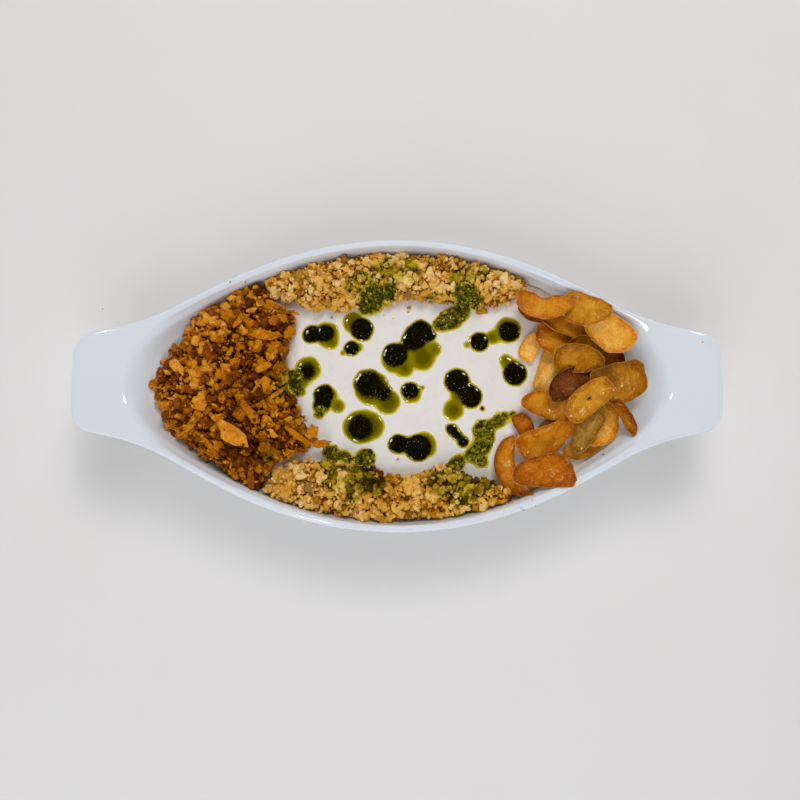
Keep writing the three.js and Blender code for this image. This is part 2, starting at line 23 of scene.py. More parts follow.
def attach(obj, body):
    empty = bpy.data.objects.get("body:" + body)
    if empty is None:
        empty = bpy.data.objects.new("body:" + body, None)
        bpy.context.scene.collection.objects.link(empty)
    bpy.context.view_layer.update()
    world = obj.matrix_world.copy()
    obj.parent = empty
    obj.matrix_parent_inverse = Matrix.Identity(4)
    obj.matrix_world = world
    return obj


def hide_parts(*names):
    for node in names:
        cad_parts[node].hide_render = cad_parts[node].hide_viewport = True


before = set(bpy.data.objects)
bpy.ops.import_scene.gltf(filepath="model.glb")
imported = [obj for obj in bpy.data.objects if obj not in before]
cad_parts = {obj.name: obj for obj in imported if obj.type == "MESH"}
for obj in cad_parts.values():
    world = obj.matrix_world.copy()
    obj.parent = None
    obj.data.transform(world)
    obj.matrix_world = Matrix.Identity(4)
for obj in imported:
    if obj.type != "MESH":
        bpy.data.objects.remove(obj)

MM = 0.001
BODY = "root"
LOG = logging.getLogger("eggplant_dip")

Array = np.ndarray
Faces = list[tuple[int, ...]]
Solid = tuple[Array, Faces]
# Place along and across the dish and radius, in millimetres.
Disc = tuple[float, float, float]
Piece = bpy.types.Object
Material = bpy.types.Material
Mesh = bpy.types.Mesh
Shapes = bpy.types.Collection
Socket = bpy.types.NodeSocket
Tree = bpy.types.NodeTree


# ---- Numbers ----


def smoothstep(values: Array, low: float, high: float) -> Array:
    """Rises smoothly from 0 at low to 1 at high."""
    share = np.clip((np.asarray(values, float) - low) / (high - low), 0.0, 1.0)
    return share * share * (3.0 - 2.0 * share)


def lattice(cells: Array, seed: int) -> Array:
    """Repeatable values between -1 and 1 for whole-numbered grid points.

    Args:
        cells: Grid points, one row each, with two or three columns.
        seed: Picks one of many patterns.

    Returns:
        One value for each row.
    """
    mixed = np.full(len(cells), seed * 2654435761 + 97, dtype=np.uint64)
    for axis, prime in zip(range(cells.shape[1]), (73856093, 19349663, 83492791)):
        mixed ^= cells[:, axis].astype(np.int64).astype(np.uint64) * np.uint64(prime)
        mixed = (mixed ^ (mixed >> np.uint64(13))) * np.uint64(1274126177)
    return ((mixed >> np.uint64(8)) & np.uint64(0xFFFFFF)).astype(float) / 0x7FFFFF - 1.0


def noise(points: Array, size: float, seed: int = 0) -> Array:
    """Smooth noise between -1 and 1.

    Args:
        points: Places in millimetres, one row each.
        size: Width of a bump in millimetres.
        seed: Picks one of many patterns.

    Returns:
        One value for each place.
    """
    scaled = np.asarray(points, float) / size
    cell = np.floor(scaled)
    part = scaled - cell
    part = part * part * (3.0 - 2.0 * part)
    total = np.zeros(len(scaled))
    for corner in itertools.product((0, 1), repeat=scaled.shape[1]):
        weight = np.prod(np.where(corner, part, 1.0 - part), axis=1)
        total += weight * lattice(cell + corner, seed)
    return total


def rough(points: Array, size: float, layers: int, seed: int = 0) -> Array:
    """Noise of several sizes on top of each other, each half as large and half as high as the one before.

    Args:
        points: Places in millimetres, one row each.
        size: Width of the largest bumps in millimetres.
        layers: How many sizes.
        seed: Picks one of many patterns.

    Returns:
        One value between -1 and 1 for each place.
    """
    total = np.zeros(len(points))
    for layer in range(layers):
        total += noise(points, size / 2**layer, seed + 17 * layer) / 2**layer
    return total / (2.0 - 0.5 ** (layers - 1))


def smooth_stations(stations: Array, steps: int) -> Array:
    """Runs centripetal curves through rows of points.

    Args:
        stations: Rows of points, of shape (rows, points, 3).
        steps: How many rows each gap between two rows becomes.

    Returns:
        The refined rows, which still hold the given ones.
    """
    ends = [2 * stations[:1] - stations[1:2], stations, 2 * stations[-1:] - stations[-2:-1]]
    rows = np.concatenate(ends)
    spans = np.sqrt(np.maximum(np.linalg.norm(np.diff(rows, axis=0), axis=2), 1e-9))[..., None]
    refined = []
    for k in range(len(stations) - 1):
        a, b, c, d = rows[k : k + 4]
        t1 = spans[k]
        t2 = t1 + spans[k + 1]
        t3 = t2 + spans[k + 2]
        for step in range(steps):
            t = t1 + (t2 - t1) * step / steps
            ab = (t1 - t) / t1 * a + t / t1 * b
            bc = (t2 - t) / (t2 - t1) * b + (t - t1) / (t2 - t1) * c
            cd = (t3 - t) / (t3 - t2) * c + (t - t2) / (t3 - t2) * d
            abc = (t2 - t) / t2 * ab + t / t2 * bc
            bcd = (t3 - t) / (t3 - t1) * bc + (t - t1) / (t3 - t1) * cd
            refined.append((t2 - t) / (t2 - t1) * abc + (t - t1) / (t2 - t1) * bcd)
    refined.append(stations[-1])
    return np.array(refined)


# ---- Meshes ----


def linked(name: str, data: bpy.types.ID) -> Piece:
    """A new object that shows some data, linked to the scene."""
    piece = bpy.data.objects.new(name, data)
    bpy.context.scene.collection.objects.link(piece)
    return piece


def new_object(name: str, points: Array, faces: Faces) -> Piece:
    """Makes a smoothly shaded mesh object at the origin.

    Args:
        name: The object's name.
        points: Vertices in millimetres.
        faces: Vertex numbers of each face, anticlockwise seen from outside.

    Returns:
        The object, linked to the scene.
    """
    mesh = bpy.data.meshes.new(name)
    mesh.from_pydata((np.asarray(points) * MM).tolist(), [], faces)
    mesh.update()
    mesh.shade_smooth()
    return linked(name, mesh)


def evaluated_mesh(piece: Piece, name: str) -> Mesh:
    """What a piece's modifiers make of it, as a plain mesh.

    Args:
        piece: The piece.
        name: Name of the mesh.

    Returns:
        The mesh.
    """
    graph = bpy.context.evaluated_depsgraph_get()
    mesh = bpy.data.meshes.new_from_object(piece.evaluated_get(graph))
    mesh.name = name
    return mesh


def points_of(mesh: Mesh) -> Array:
    """A mesh's vertices in millimetres."""
    flat = np.empty(3 * len(mesh.vertices), dtype=np.float32)
    mesh.vertices.foreach_get("co", flat)
    return flat.reshape(-1, 3).astype(float) / MM


def normals_of(mesh: Mesh) -> Array:
    """A mesh's vertex normals."""
    flat = np.empty(3 * len(mesh.vertices), dtype=np.float32)
    mesh.vertices.foreach_get("normal", flat)
    return flat.reshape(-1, 3).astype(float)


def place_points(mesh: Mesh, points: Array) -> None:
    """Moves a mesh's vertices to places in millimetres."""
    mesh.vertices.foreach_set("co", (points * MM).astype(np.float32).ravel())
    mesh.update()


def paint(mesh: Mesh, name: str, values: Array) -> None:
    """Stores one number for each vertex under a name that a finish can read."""
    layer = mesh.attributes.get(name) or mesh.attributes.new(name, "FLOAT", "POINT")
    layer.data.foreach_set("value", np.asarray(values, dtype=np.float32))


def joined(solids: Sequence[Solid]) -> Solid:
    """Several solids as one."""
    starts = itertools.accumulate((len(points) for points, _ in solids), initial=0)
    faces = [tuple(start + k for k in face) for start, solid in zip(starts, solids) for face in solid[1]]
    return np.concatenate([points for points, _ in solids]), faces


def ring_solid(rings: Array, top: Sequence[float], bottom: Sequence[float]) -> Solid:
    """Closes rings of points into a solid.

    Args:
        rings: Rings from the top pole outwards and back to the bottom pole, anticlockwise from above.
        top: The top pole.
        bottom: The bottom pole.

    Returns:
        Vertices and faces.
    """
    rows, count = rings.shape[:2]
    points = np.concatenate([[top], rings.reshape(-1, 3), [bottom]])
    following = np.roll(np.arange(count), -1)
    faces: Faces = []
    for k, nxt in enumerate(following.tolist()):
        faces.append((0, 1 + k, 1 + nxt))
        for row in range(rows - 1):
            here, below = 1 + row * count, 1 + (row + 1) * count
            faces.append((here + k, below + k, below + nxt, here + nxt))
        last = 1 + (rows - 1) * count
        faces.append((1 + rows * count, last + nxt, last + k))
    return points, faces


def plate_solid(
    outline: Array, middle: Callable[[Array, Array], Array], thickness: float, count: int, crispness: int
) -> tuple[Array, Faces, Array]:
    """A thin plate with a rounded edge.

    Args:
        outline: Rows of x and y round the plate, anticlockwise, about the origin.
        middle: Height of the plate's middle at rows of x and y, given with their share of the way out.
        thickness: Its thickness, which falls to nothing at the edge.
        count: How many rings it has on each side, besides a small one round its middle.
        crispness: How late its sides close towards the edge.

    Returns:
        Vertices, faces, and how far out each vertex is from 0 to 1.
    """
    shares = 1 - (1 - np.arange(1, count + 1) / count) ** 1.7
    shares = np.insert(shares, 0, 0.3 * shares[0])
    out = np.concatenate([shares, shares[-2::-1]])
    side = np.where(np.arange(len(out)) <= count, 1.0, -1.0)
    plane = outline[None] * out[:, None, None]
    every = np.repeat(out, len(outline))
    height = middle(plane.reshape(-1, 2), every).reshape(len(out), -1)
    height = height + (side * thickness / 2 * np.sqrt(1 - out**crispness))[:, None]
    centre = float(middle(np.zeros((1, 2)), np.zeros(1))[0])
    rings = np.concatenate([plane, height[..., None]], axis=-1)
    points, faces = ring_solid(rings, (0, 0, centre + thickness / 2), (0, 0, centre - thickness / 2))
    return points, faces, np.concatenate([[0.0], every, [0.0]])


def field_solid(
    low: tuple[float, float],
    high: tuple[float, float],
    pitch: float,
    inside: Callable[[Array], Array],
    top: Callable[[Array], Array],
    bottom: Callable[[Array], Array],
) -> Solid:
    """Makes a flat-lying solid wherever a field over the plane is positive.

    Args:
        low: Lowest corner of the area, in millimetres.
        high: Highest corner of the area, in millimetres.
        pitch: Width of a mesh cell.
        inside: Gives about the distance inside the outline for rows of x and y, negative outside.
        top: Gives the upper side's height for rows of x and y.
        bottom: Gives the underside's height.

    Returns:
        Vertices, those of the upper side first, and faces.
    """
    xs = np.arange(low[0], high[0] + pitch, pitch)
    ys = np.arange(low[1], high[1] + pitch, pitch)
    grid = np.stack(np.meshgrid(xs, ys), axis=-1)
    columns = len(xs)
    plane = grid.reshape(-1, 2)
    value = inside(plane).reshape(grid.shape[:2])
    wet = value > 0
    cells = wet[:-1, :-1] | wet[1:, :-1] | wet[:-1, 1:] | wet[1:, 1:]
    row, column = np.nonzero(cells)
    corner = row * columns + column
    quads = np.stack([corner, corner + 1, corner + columns + 1, corner + columns], axis=1)
    used, compact = np.unique(quads, return_inverse=True)
    quads = compact.reshape(quads.shape)
    flat = plane[used]
    for _ in range(3):
        distance = inside(flat)
        step = 0.1 * pitch
        steps = (np.array((step, 0)), np.array((0, step)))
        slope = np.stack([inside(flat + move) - inside(flat - move) for move in steps], axis=1) / (2 * step)
        steepness = np.maximum((slope**2).sum(axis=1), 0.05)
        move = -slope * (distance / steepness)[:, None]
        length = np.linalg.norm(move, axis=1, keepdims=True)
        move *= np.minimum(1.0, 0.8 * pitch / np.maximum(length, 1e-9))
        flat = np.where((value.ravel()[used] <= 0)[:, None], flat + move, flat)
    under = len(flat)
    points = np.concatenate([np.c_[flat, top(flat)], np.c_[flat, bottom(flat)]])
    faces: Faces = [tuple(quad) for quad in quads.tolist()]
    faces += [tuple(under + k for k in reversed(quad)) for quad in quads.tolist()]
    sides = np.concatenate([quads[:, [k, (k + 1) % 4]] for k in range(4)])
    keys = sides[:, 0] * under + sides[:, 1]
    free = ~np.isin(sides[:, 1] * under + sides[:, 0], keys)
    faces += [(int(a), int(under + a), int(under + b), int(b)) for a, b in sides[free]]
    return points, faces


def flatten_sides(mesh: Mesh) -> None:
    """Shades upright side faces flat, so that they don't bend the light on a thin sheet's edge."""
    for polygon in mesh.polygons:
        polygon.use_smooth = abs(polygon.normal.z) > 0.25


def welded_copy(node: str, name: str) -> Piece:
    """A copy of a CAD node in which touching corners are one vertex.

    Args:
        node: The CAD node.
        name: Name of the copy.

    Returns:
        The copy.
    """
    work = bmesh.new()
    work.from_mesh(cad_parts[node].data)
    bmesh.ops.remove_doubles(work, verts=work.verts, dist=1e-6)
    mesh = bpy.data.meshes.new(name)
    work.to_mesh(mesh)
    work.free()
    return linked(name, mesh)


def tree_of(*pieces: Piece) -> BVHTree:
    """A search tree over the faces of some pieces, in metres.

    Args:
        *pieces: The pieces.

    Returns:
        The tree.
    """
    corners: list[Vector] = []
    polygons: Faces = []
    for piece in pieces:
        start = len(corners)
        corners += [vertex.co.copy() for vertex in piece.data.vertices]
        polygons += [tuple(start + k for k in polygon.vertices) for polygon in piece.data.polygons]
    return BVHTree.FromPolygons(corners, polygons)


def ground_under(tree: BVHTree, x: float, y: float, fallback: float) -> tuple[float, Vector]:
    """Height and normal of the highest surface at a place.

    Args:
        tree: What to look down on.
        x: Place along the dish in millimetres.
        y: Place across the dish in millimetres.
        fallback: Height to give where nothing is hit.

    Returns:
        The height in millimetres and the upward normal there.
    """
    place, normal, _, _ = tree.ray_cast(Vector((x * MM, y * MM, 0.1)), Vector((0, 0, -1)))
    if place is None:
        return fallback, Vector((0, 0, 1))
    return place.z / MM, normal if normal.z > 0 else -normal


# ---- Nodes ----


def linear(colour: str) -> tuple[float, float, float, float]:
    """Turns an sRGB hex colour such as "#c08426" into linear red, green, blue and alpha."""
    parts = [int(colour[k : k + 2], 16) / 255 for k in (1, 3, 5)]
    red, green, blue = (p / 12.92 if p <= 0.04045 else ((p + 0.055) / 1.055) ** 2.4 for p in parts)
    return red, green, blue, 1.0


class Kind(Enum):
    """Kinds of node: type, inputs or own properties in the order they are given, output and settings."""

    PLACE = ("ShaderNodeTexCoord", (), "Object", {})
    DIRECTION = ("ShaderNodeTexCoord", (), "Generated", {})
    UPWARD = ("ShaderNodeSeparateXYZ", (0,), "Z", {})
    PAINTED = ("ShaderNodeAttribute", ("attribute_name",), "Fac", {"attribute_type": "GEOMETRY"})
    NOISE = ("ShaderNodeTexNoise", ("Vector", "Scale", "Detail", "Roughness"), "Fac", {})
    CELLS = ("ShaderNodeTexVoronoi", ("Vector", "Scale"), "Distance", {})
    MIX = ("ShaderNodeMix", (0, 6, 7), 2, {"data_type": "RGBA"})
    RANGE = ("ShaderNodeMapRange", (0, 1, 2, 3, 4), 0, {})
    RAMP = ("ShaderNodeValToRGB", (0,), 0, {})
    BUMP = ("ShaderNodeBump", ("Height", "Distance", "Strength", "Normal"), 0, {})
    SUM = ("ShaderNodeMath", (0, 1), 0, {"operation": "ADD"})
    PRODUCT = ("ShaderNodeMath", (0, 1), 0, {"operation": "MULTIPLY"})
    PRODUCT_SUM = ("ShaderNodeMath", (0, 1, 2), 0, {"operation": "MULTIPLY_ADD"})
    POWER = ("ShaderNodeMath", (0, 1), 0, {"operation": "POWER"})
    VECTOR = ("ShaderNodeCombineXYZ", (0, 1, 2), 0, {})
    STRETCH = ("ShaderNodeVectorMath", (0, 3), 0, {"operation": "SCALE"})
    GIVEN = ("NodeGroupInput", (), 0, {})
    RESULT = ("NodeGroupOutput", (0,), None, {})
    NUMBER = ("FunctionNodeRandomValue", (2, 3, 8), 1, {"data_type": "FLOAT"})
    ANGLES = ("FunctionNodeRandomValue", (0, 1, 8), 0, {"data_type": "FLOAT_VECTOR"})
    ROTATION = ("FunctionNodeEulerToRotation", (0,), 0, {})
    ROTATED = ("FunctionNodeRotateRotation", (0, 1), 0, {"rotation_space": "LOCAL"})
    STORED = ("GeometryNodeInputNamedAttribute", ("Name",), 0, {"data_type": "FLOAT"})
    POINTS = (
        "GeometryNodeDistributePointsOnFaces",
        ("Mesh", "Distance Min", "Density Max", "Density Factor", "Seed"),
        "Points",
        {"distribute_method": "POISSON"},
    )
    MOVED = ("GeometryNodeSetPosition", ("Geometry", "Offset"), 0, {})
    CHILDREN = ("GeometryNodeCollectionInfo", ("Collection", "Separate Children", "Reset Children"), 0, {})
    COPIES = (
        "GeometryNodeInstanceOnPoints", ("Points", "Instance", "Pick Instance", "Rotation", "Scale"), 0, {},
    )
    STORE = (
        "GeometryNodeStoreNamedAttribute", ("Geometry", "Name", "Value"), 0,
        {"data_type": "FLOAT", "domain": "INSTANCE"},
    )
    REAL = ("GeometryNodeRealizeInstances", (0,), 0, {})
    SMOOTHED = ("GeometryNodeSetShadeSmooth", ("Geometry", "Shade Smooth"), 0, {})
    DRESSED = ("GeometryNodeSetMaterial", ("Geometry", "Material"), 0, {})


def add(tree: Tree, kind: Kind, *values: object, stops: Sequence[tuple[float, str]] = ()) -> Socket | None:
    """Adds a node to a tree.

    Args:
        tree: The material's or modifier's node tree.
        kind: The kind of node.
        *values: For each of the kind's inputs a value, a hex colour or the socket that feeds it.
        stops: A colour ramp's places and hex colours.

    Returns:
        The kind's output.
    """
    type_name, inputs, output, settings = kind.value
    node = tree.nodes.new(type_name)
    for name, value in settings.items():
        setattr(node, name, value)
    if stops:
        ramp = node.color_ramp.elements
        while len(ramp) < len(stops):
            ramp.new(0.5)
        for element, (place, colour) in zip(ramp, stops):
            element.position = place
            element.color = linear(colour)
    for key, value in zip(inputs, values):
        if isinstance(value, Socket):
            tree.links.new(value, node.inputs[key])
        elif hasattr(node, str(key)):
            setattr(node, key, value)
        elif isinstance(value, str) and value.startswith("#"):
            node.inputs[key].default_value = linear(value)
        else:
            node.inputs[key].default_value = value
    return None if output is None else node.outputs[output]


# ---- Finishes ----


class Look:
    """A material under construction."""

    def __init__(self, name: str, scatter: tuple[float, ...] = (), **fixed: object) -> None:
        """Starts the material.

        Args:
            name: Name of the real finish.
            scatter: How many millimetres red, green and blue light spread under the surface.
            **fixed: Values or hex colours of the shader's own sockets, with underscores for spaces.
        """
        self.material = bpy.data.materials.new(name)
        self.material.use_nodes = True
        self.tree = self.material.node_tree
        self.shader = self.tree.nodes["Principled BSDF"]
        if scatter:
            fixed["Subsurface_Radius"] = tuple(reach * MM for reach in scatter)
        for socket, value in fixed.items():
            value = linear(value) if isinstance(value, str) else value
            self.shader.inputs[socket.replace("_", " ")].default_value = value

    def add(self, kind: Kind, *values: object, stops: Sequence[tuple[float, str]] = ()) -> Socket:
        """Adds a node to the material, as the function add says."""
        return add(self.tree, kind, *values, stops=stops)

    def cloud(self, size: float, detail: float = 2.0, roughness: float = 0.5) -> Socket:
        """Noise in the piece's own space, with features so many millimetres wide."""
        return self.add(Kind.NOISE, self.add(Kind.PLACE), 1 / (size * MM), detail, roughness)

    def finish(self, colour: Socket, roughness: Socket | float, *layers: tuple[Socket, float]) -> Material:
        """Feeds the shader.

        Args:
            colour: The surface's colour.
            roughness: Its roughness.
            *layers: Its relief, each layer a height between 0 and 1 with the millimetres that 1 stands for.

        Returns:
            The finished material.
        """
        self.tree.links.new(colour, self.shader.inputs["Base Color"])
        if isinstance(roughness, Socket):
            self.tree.links.new(roughness, self.shader.inputs["Roughness"])
        else:
            self.shader.inputs["Roughness"].default_value = roughness
        below: tuple[Socket, ...] = ()
        for height, depth in layers:
            below = (self.add(Kind.BUMP, height, depth * MM, 1.0, *below),)
        for normal in below:
            self.tree.links.new(normal, self.shader.inputs["Normal"])
        return self.material


@dataclass(frozen=True)
class GlazedPorcelain:
    """Glazed white porcelain: a cool, mirror-smooth glass skin with a faint waviness and oily traces."""

    glaze: str = "#dee3e7"
    shade: str = "#d9dfe4"
    painted_wall_light: str = "#f9fafb"
    oil: str = "#d9cdb0"

    def material(self) -> Material:
        """Builds the glaze.

        Returns:
            The material.
        """
        look = Look("glazed porcelain", IOR=1.46)
        body = look.add(Kind.MIX, look.cloud(40, 1), self.shade, self.glaze)
        # Painted light: the inner wall above the sauce is painted whiter than the rest of the glaze.
        body = look.add(Kind.MIX, look.add(Kind.PAINTED, "inside"), body, self.painted_wall_light)
        # Food has left thin traces where it touched the wall.
        trace = look.add(Kind.PRODUCT, look.add(Kind.PAINTED, "trace"), look.cloud(3, 4))
        colour = look.add(Kind.MIX, look.add(Kind.RANGE, trace, 0.2, 0.75, 0.0, 0.7), body, self.oil)
        gloss = look.add(Kind.RANGE, look.cloud(12, 3), 0.3, 0.7, 0.04, 0.1)
        # The glaze has run in waves about 9 mm wide and holds pinholes.
        return look.finish(colour, gloss, (look.cloud(9, 1), 0.05), (look.cloud(1.2, 2), 0.004))


@dataclass(frozen=True)
class Bisque:
    """Unglazed fired porcelain on the foot ring: matt, off-white and finely grained."""

    clay: str = "#d8d0c2"
    grain: str = "#bfb5a4"

    def material(self) -> Material:
        """Builds the bare clay.

        Returns:
            The material.
        """
        look = Look("unglazed porcelain")
        colour = look.add(Kind.MIX, look.cloud(0.8, 4), self.grain, self.clay)
        return look.finish(colour, 0.85, (look.cloud(0.4, 3), 0.05))


@dataclass(frozen=True)
class EggplantMash:
    """Cooked eggplant mashed with onion: moist, olive-brown, stringy and coarse."""

    dark: str = "#46330f"
    flesh: str = "#7a6230"
    pale: str = "#a58a4c"

    def material(self) -> Material:
        """Builds the mash.

        Returns:
            The material.
        """
        look = Look("eggplant mash", (2, 1.4, 0.6), IOR=1.42, Subsurface_Weight=0.08)
        lumps = look.cloud(2.6, 5, 0.65)
        colour = look.add(Kind.RAMP, lumps, stops=[(0.3, self.dark), (0.5, self.flesh), (0.72, self.pale)])
        gloss = look.add(Kind.RANGE, look.cloud(5, 3), 0.3, 0.7, 0.22, 0.55)
        return look.finish(colour, gloss, (lumps, 0.7), (look.cloud(0.6, 3), 0.12))


@dataclass(frozen=True)
class WheySauce:
    """Thick fermented whey: an even, wet, warm white that takes up colour from what lies beside it."""

    cream: str = "#ede9e3"
    shade: str = "#e7e1d9"
    stain: str = "#d0a765"
    thin: str = "#f9fafb"

    def material(self) -> Material:
        """Builds the sauce.

        Returns:
            The material.
        """
        look = Look("whey sauce", (3, 2.6, 2), IOR=1.36, Subsurface_Weight=0.2)
        body = look.add(Kind.MIX, look.cloud(16, 3), self.shade, self.cream)
        stain = look.add(Kind.PRODUCT, look.add(Kind.PAINTED, "stain"), look.cloud(3.5, 4))
        colour = look.add(Kind.MIX, look.add(Kind.RANGE, stain, 0.15, 0.7, 0.0, 0.75), body, self.stain)
        # Where it is no more than a film, the white glaze shows through.
        colour = look.add(Kind.MIX, look.add(Kind.PAINTED, "thin"), colour, self.thin)
        gloss = look.add(Kind.RANGE, look.cloud(8, 3), 0.3, 0.7, 0.2, 0.38)
        return look.finish(colour, gloss, (look.cloud(7, 2), 0.25), (look.cloud(1.6, 3), 0.03))


@dataclass(frozen=True)
class MintOil:
    """Dried mint fried in oil: clear olive oil at the edges and near-black leaf mush in the middle."""

    thin_oil: str = "#dcc83c"
    oil: str = "#8a7e00"
    deep_oil: str = "#5e5400"
    leaves: str = "#0a0800"
    leaf_light: str = "#262200"
    paste_dark: str = "#1c1c00"
    paste_mid: str = "#686000"
    paste_light: str = "#c0ac10"
    painted_glint: str = "#c8c490"
    painted_glint_spacing: float = 1.3

    def material(self) -> Material:
        """Builds the oil and the leaves in it.

        Returns:
            The material.
        """
        look = Look("mint oil", IOR=1.4, Specular_IOR_Level=0.35)
        depth = look.add(Kind.PAINTED, "oil")
        oil = look.add(Kind.RAMP, depth, stops=[(0.0, self.thin_oil), (0.12, self.oil), (0.8, self.deep_oil)])
        grain = look.cloud(1.1, 4, 0.7)
        glint = look.add(Kind.RANGE, grain, 0.45, 0.75)
        mush = look.add(Kind.MIX, glint, self.leaves, self.leaf_light)
        # Leaf bits drift out at the edge of the mush.
        leaves = look.add(Kind.PAINTED, "leaves")
        drift = look.add(Kind.PRODUCT_SUM, look.cloud(0.7, 3), 1.0, leaves)
        share = look.add(Kind.RANGE, drift, 0.65, 1.25)
        colour = look.add(Kind.MIX, share, oil, mush)
        stops = [(0.4, self.paste_dark), (0.52, self.paste_mid), (0.66, self.paste_light)]
        paste = look.add(Kind.RAMP, look.cloud(1.5, 4, 0.75), stops=stops)
        paste = look.add(Kind.MIX, look.add(Kind.RANGE, depth, 0.05, 0.3), oil, paste)
        thick = look.add(Kind.PAINTED, "paste")
        colour = look.add(Kind.MIX, thick, colour, paste)
        # Painted glints: pale dots on single wet flakes, as highlights.
        cells = look.add(Kind.CELLS, look.add(Kind.PLACE), 1 / (self.painted_glint_spacing * MM))
        crowd = look.add(Kind.RANGE, look.cloud(5, 2), 0.45, 0.62, 0.0, 0.7)
        flakes = look.add(Kind.PRODUCT, look.add(Kind.RANGE, cells, 0.17, 0.12), crowd)
        colour = look.add(Kind.MIX, look.add(Kind.PRODUCT, flakes, share), colour, self.painted_glint)
        dull = look.add(Kind.RANGE, thick, 0.0, 1.0, 0.02, 0.12)
        gloss = look.add(Kind.PRODUCT_SUM, grain, 0.04, dull)
        return look.finish(colour, gloss, (look.add(Kind.PRODUCT, look.cloud(0.8, 3, 0.7), share), 0.03))


@dataclass(frozen=True)
class MintLeaf:
    """Crumbled dried mint soaked in oil: wet green-black to yellow-green bits."""

    dark: str = "#242400"
    green: str = "#4e4c00"
    olive: str = "#8a8000"
    light: str = "#c4b428"

    def material(self) -> Material:
        """Builds the leaf bits.

        Returns:
            The material.
        """
        look = Look("mint leaf", IOR=1.4, Specular_IOR_Level=0.2)
        tone = look.add(Kind.PAINTED, "tone")
        tone = look.add(Kind.PRODUCT_SUM, look.cloud(0.8, 3), 0.5, tone)
        stops = [(0.3, self.dark), (0.6, self.green), (0.85, self.olive), (1.0, self.light)]
        colour = look.add(Kind.RAMP, look.add(Kind.RANGE, tone, 0.0, 1.3), stops=stops)
        gloss = look.add(Kind.RANGE, look.cloud(1.0, 2), 0.3, 0.7, 0.15, 0.45)
        return look.finish(colour, gloss, (look.cloud(0.4, 3), 0.1))


@dataclass(frozen=True)
class FriedOnion:
    """Onion fried hard: amber to dark brown, crisp, a little translucent, with oil in its hollows."""

    name: str = "fried onion"
    burnt: str = "#401400"
    brown: str = "#8c4600"
    amber: str = "#d08208"
    gold: str = "#f0b24c"
    minted: str = "#746400"
    sheen: str = "#ffcf80"

    def material(self) -> Material:
        """Builds the crust.

        Returns:
            The material.
        """
        look = Look(
            self.name, (1.4, 0.7, 0.2), IOR=1.45, Specular_IOR_Level=0.3, Specular_Tint=self.sheen,
            Subsurface_Weight=0.1,
        )
        tone = look.add(Kind.PAINTED, "tone")
        tone = look.add(Kind.PRODUCT_SUM, tone, 1.0, look.cloud(1.6, 4, 0.65))
        stops = [(0.0, self.burnt), (0.28, self.brown), (0.62, self.amber), (0.95, self.gold)]
        crust = look.add(Kind.RAMP, look.add(Kind.RANGE, tone, 0.36, 1.52), stops=stops)
        patches = look.add(Kind.RANGE, look.cloud(2.4, 3), 0.4, 0.6, 0.2, 0.85)
        mint = look.add(Kind.PRODUCT, look.add(Kind.PAINTED, "mint"), patches)
        colour = look.add(Kind.MIX, mint, crust, self.minted)
        gloss = look.add(Kind.RANGE, look.cloud(2.2, 3), 0.35, 0.65, 0.2, 0.55)
        return look.finish(colour, gloss, (look.cloud(0.9, 4, 0.7), 0.35))


@dataclass(frozen=True)
class CrushedWalnut:
    """Broken walnut kernel: dry tan flesh, now and then a brown skin, and green where mint oil has run."""

    skin: str = "#6c3600"
    shade: str = "#b27404"
    flesh: str = "#e4b04c"
    pale: str = "#f4d69c"
    oiled_pale: str = "#e0c444"
    oiled: str = "#b69c00"
    oiled_deep: str = "#665600"
    soaked: str = "#2c2700"
    sheen: str = "#ffd890"

    def material(self) -> Material:
        """Builds the kernel.

        Returns:
            The material.
        """
        look = Look(
            "crushed walnut", (1.2, 0.8, 0.3), IOR=1.3, Specular_IOR_Level=0.1, Specular_Tint=self.sheen,
            Subsurface_Weight=0.08,
        )
        tone = look.add(Kind.PAINTED, "tone")
        tone = look.add(Kind.PRODUCT_SUM, look.cloud(1.8, 3), 0.5, tone)
        stops = [(0.14, self.skin), (0.26, self.shade), (0.6, self.flesh), (0.95, self.pale)]
        colour = look.add(Kind.RAMP, look.add(Kind.RANGE, tone, 0.0, 1.4), stops=stops)
        # Now and then a piece has kept its brown skin.
        pick = look.add(Kind.PAINTED, "pick")
        colour = look.add(Kind.MIX, look.add(Kind.RANGE, pick, 0.93, 0.95, 0.0, 0.75), colour, self.skin)
        # Oil has coloured some pieces more than others: the pale ones yellow, the small ones deep green.
        stops = [(0.15, self.soaked), (0.4, self.oiled_deep), (0.68, self.oiled), (1.0, self.oiled_pale)]
        green = look.add(Kind.RAMP, look.add(Kind.RANGE, tone, 0.1, 1.4), stops=stops)
        mint = look.add(Kind.PAINTED, "mint")
        uneven = look.add(Kind.PRODUCT_SUM, pick, 0.5, look.cloud(1.6, 3))
        reach = look.add(Kind.PRODUCT_SUM, tone, -0.6, look.add(Kind.PRODUCT_SUM, mint, 1.25, uneven))
        colour = look.add(Kind.MIX, look.add(Kind.RANGE, reach, 1.15, 1.5, 0.0, 0.92), colour, green)
        soak = look.add(Kind.PAINTED, "soak")
        soak = look.add(Kind.PRODUCT_SUM, look.cloud(1.4, 3), 0.8, soak)
        colour = look.add(Kind.MIX, look.add(Kind.RANGE, soak, 0.95, 1.3, 0.0, 0.9), colour, self.soaked)
        gloss = look.add(Kind.RANGE, mint, 0.0, 1.0, 0.62, 0.35)
        return look.finish(colour, gloss, (look.cloud(0.7, 4, 0.7), 0.25))


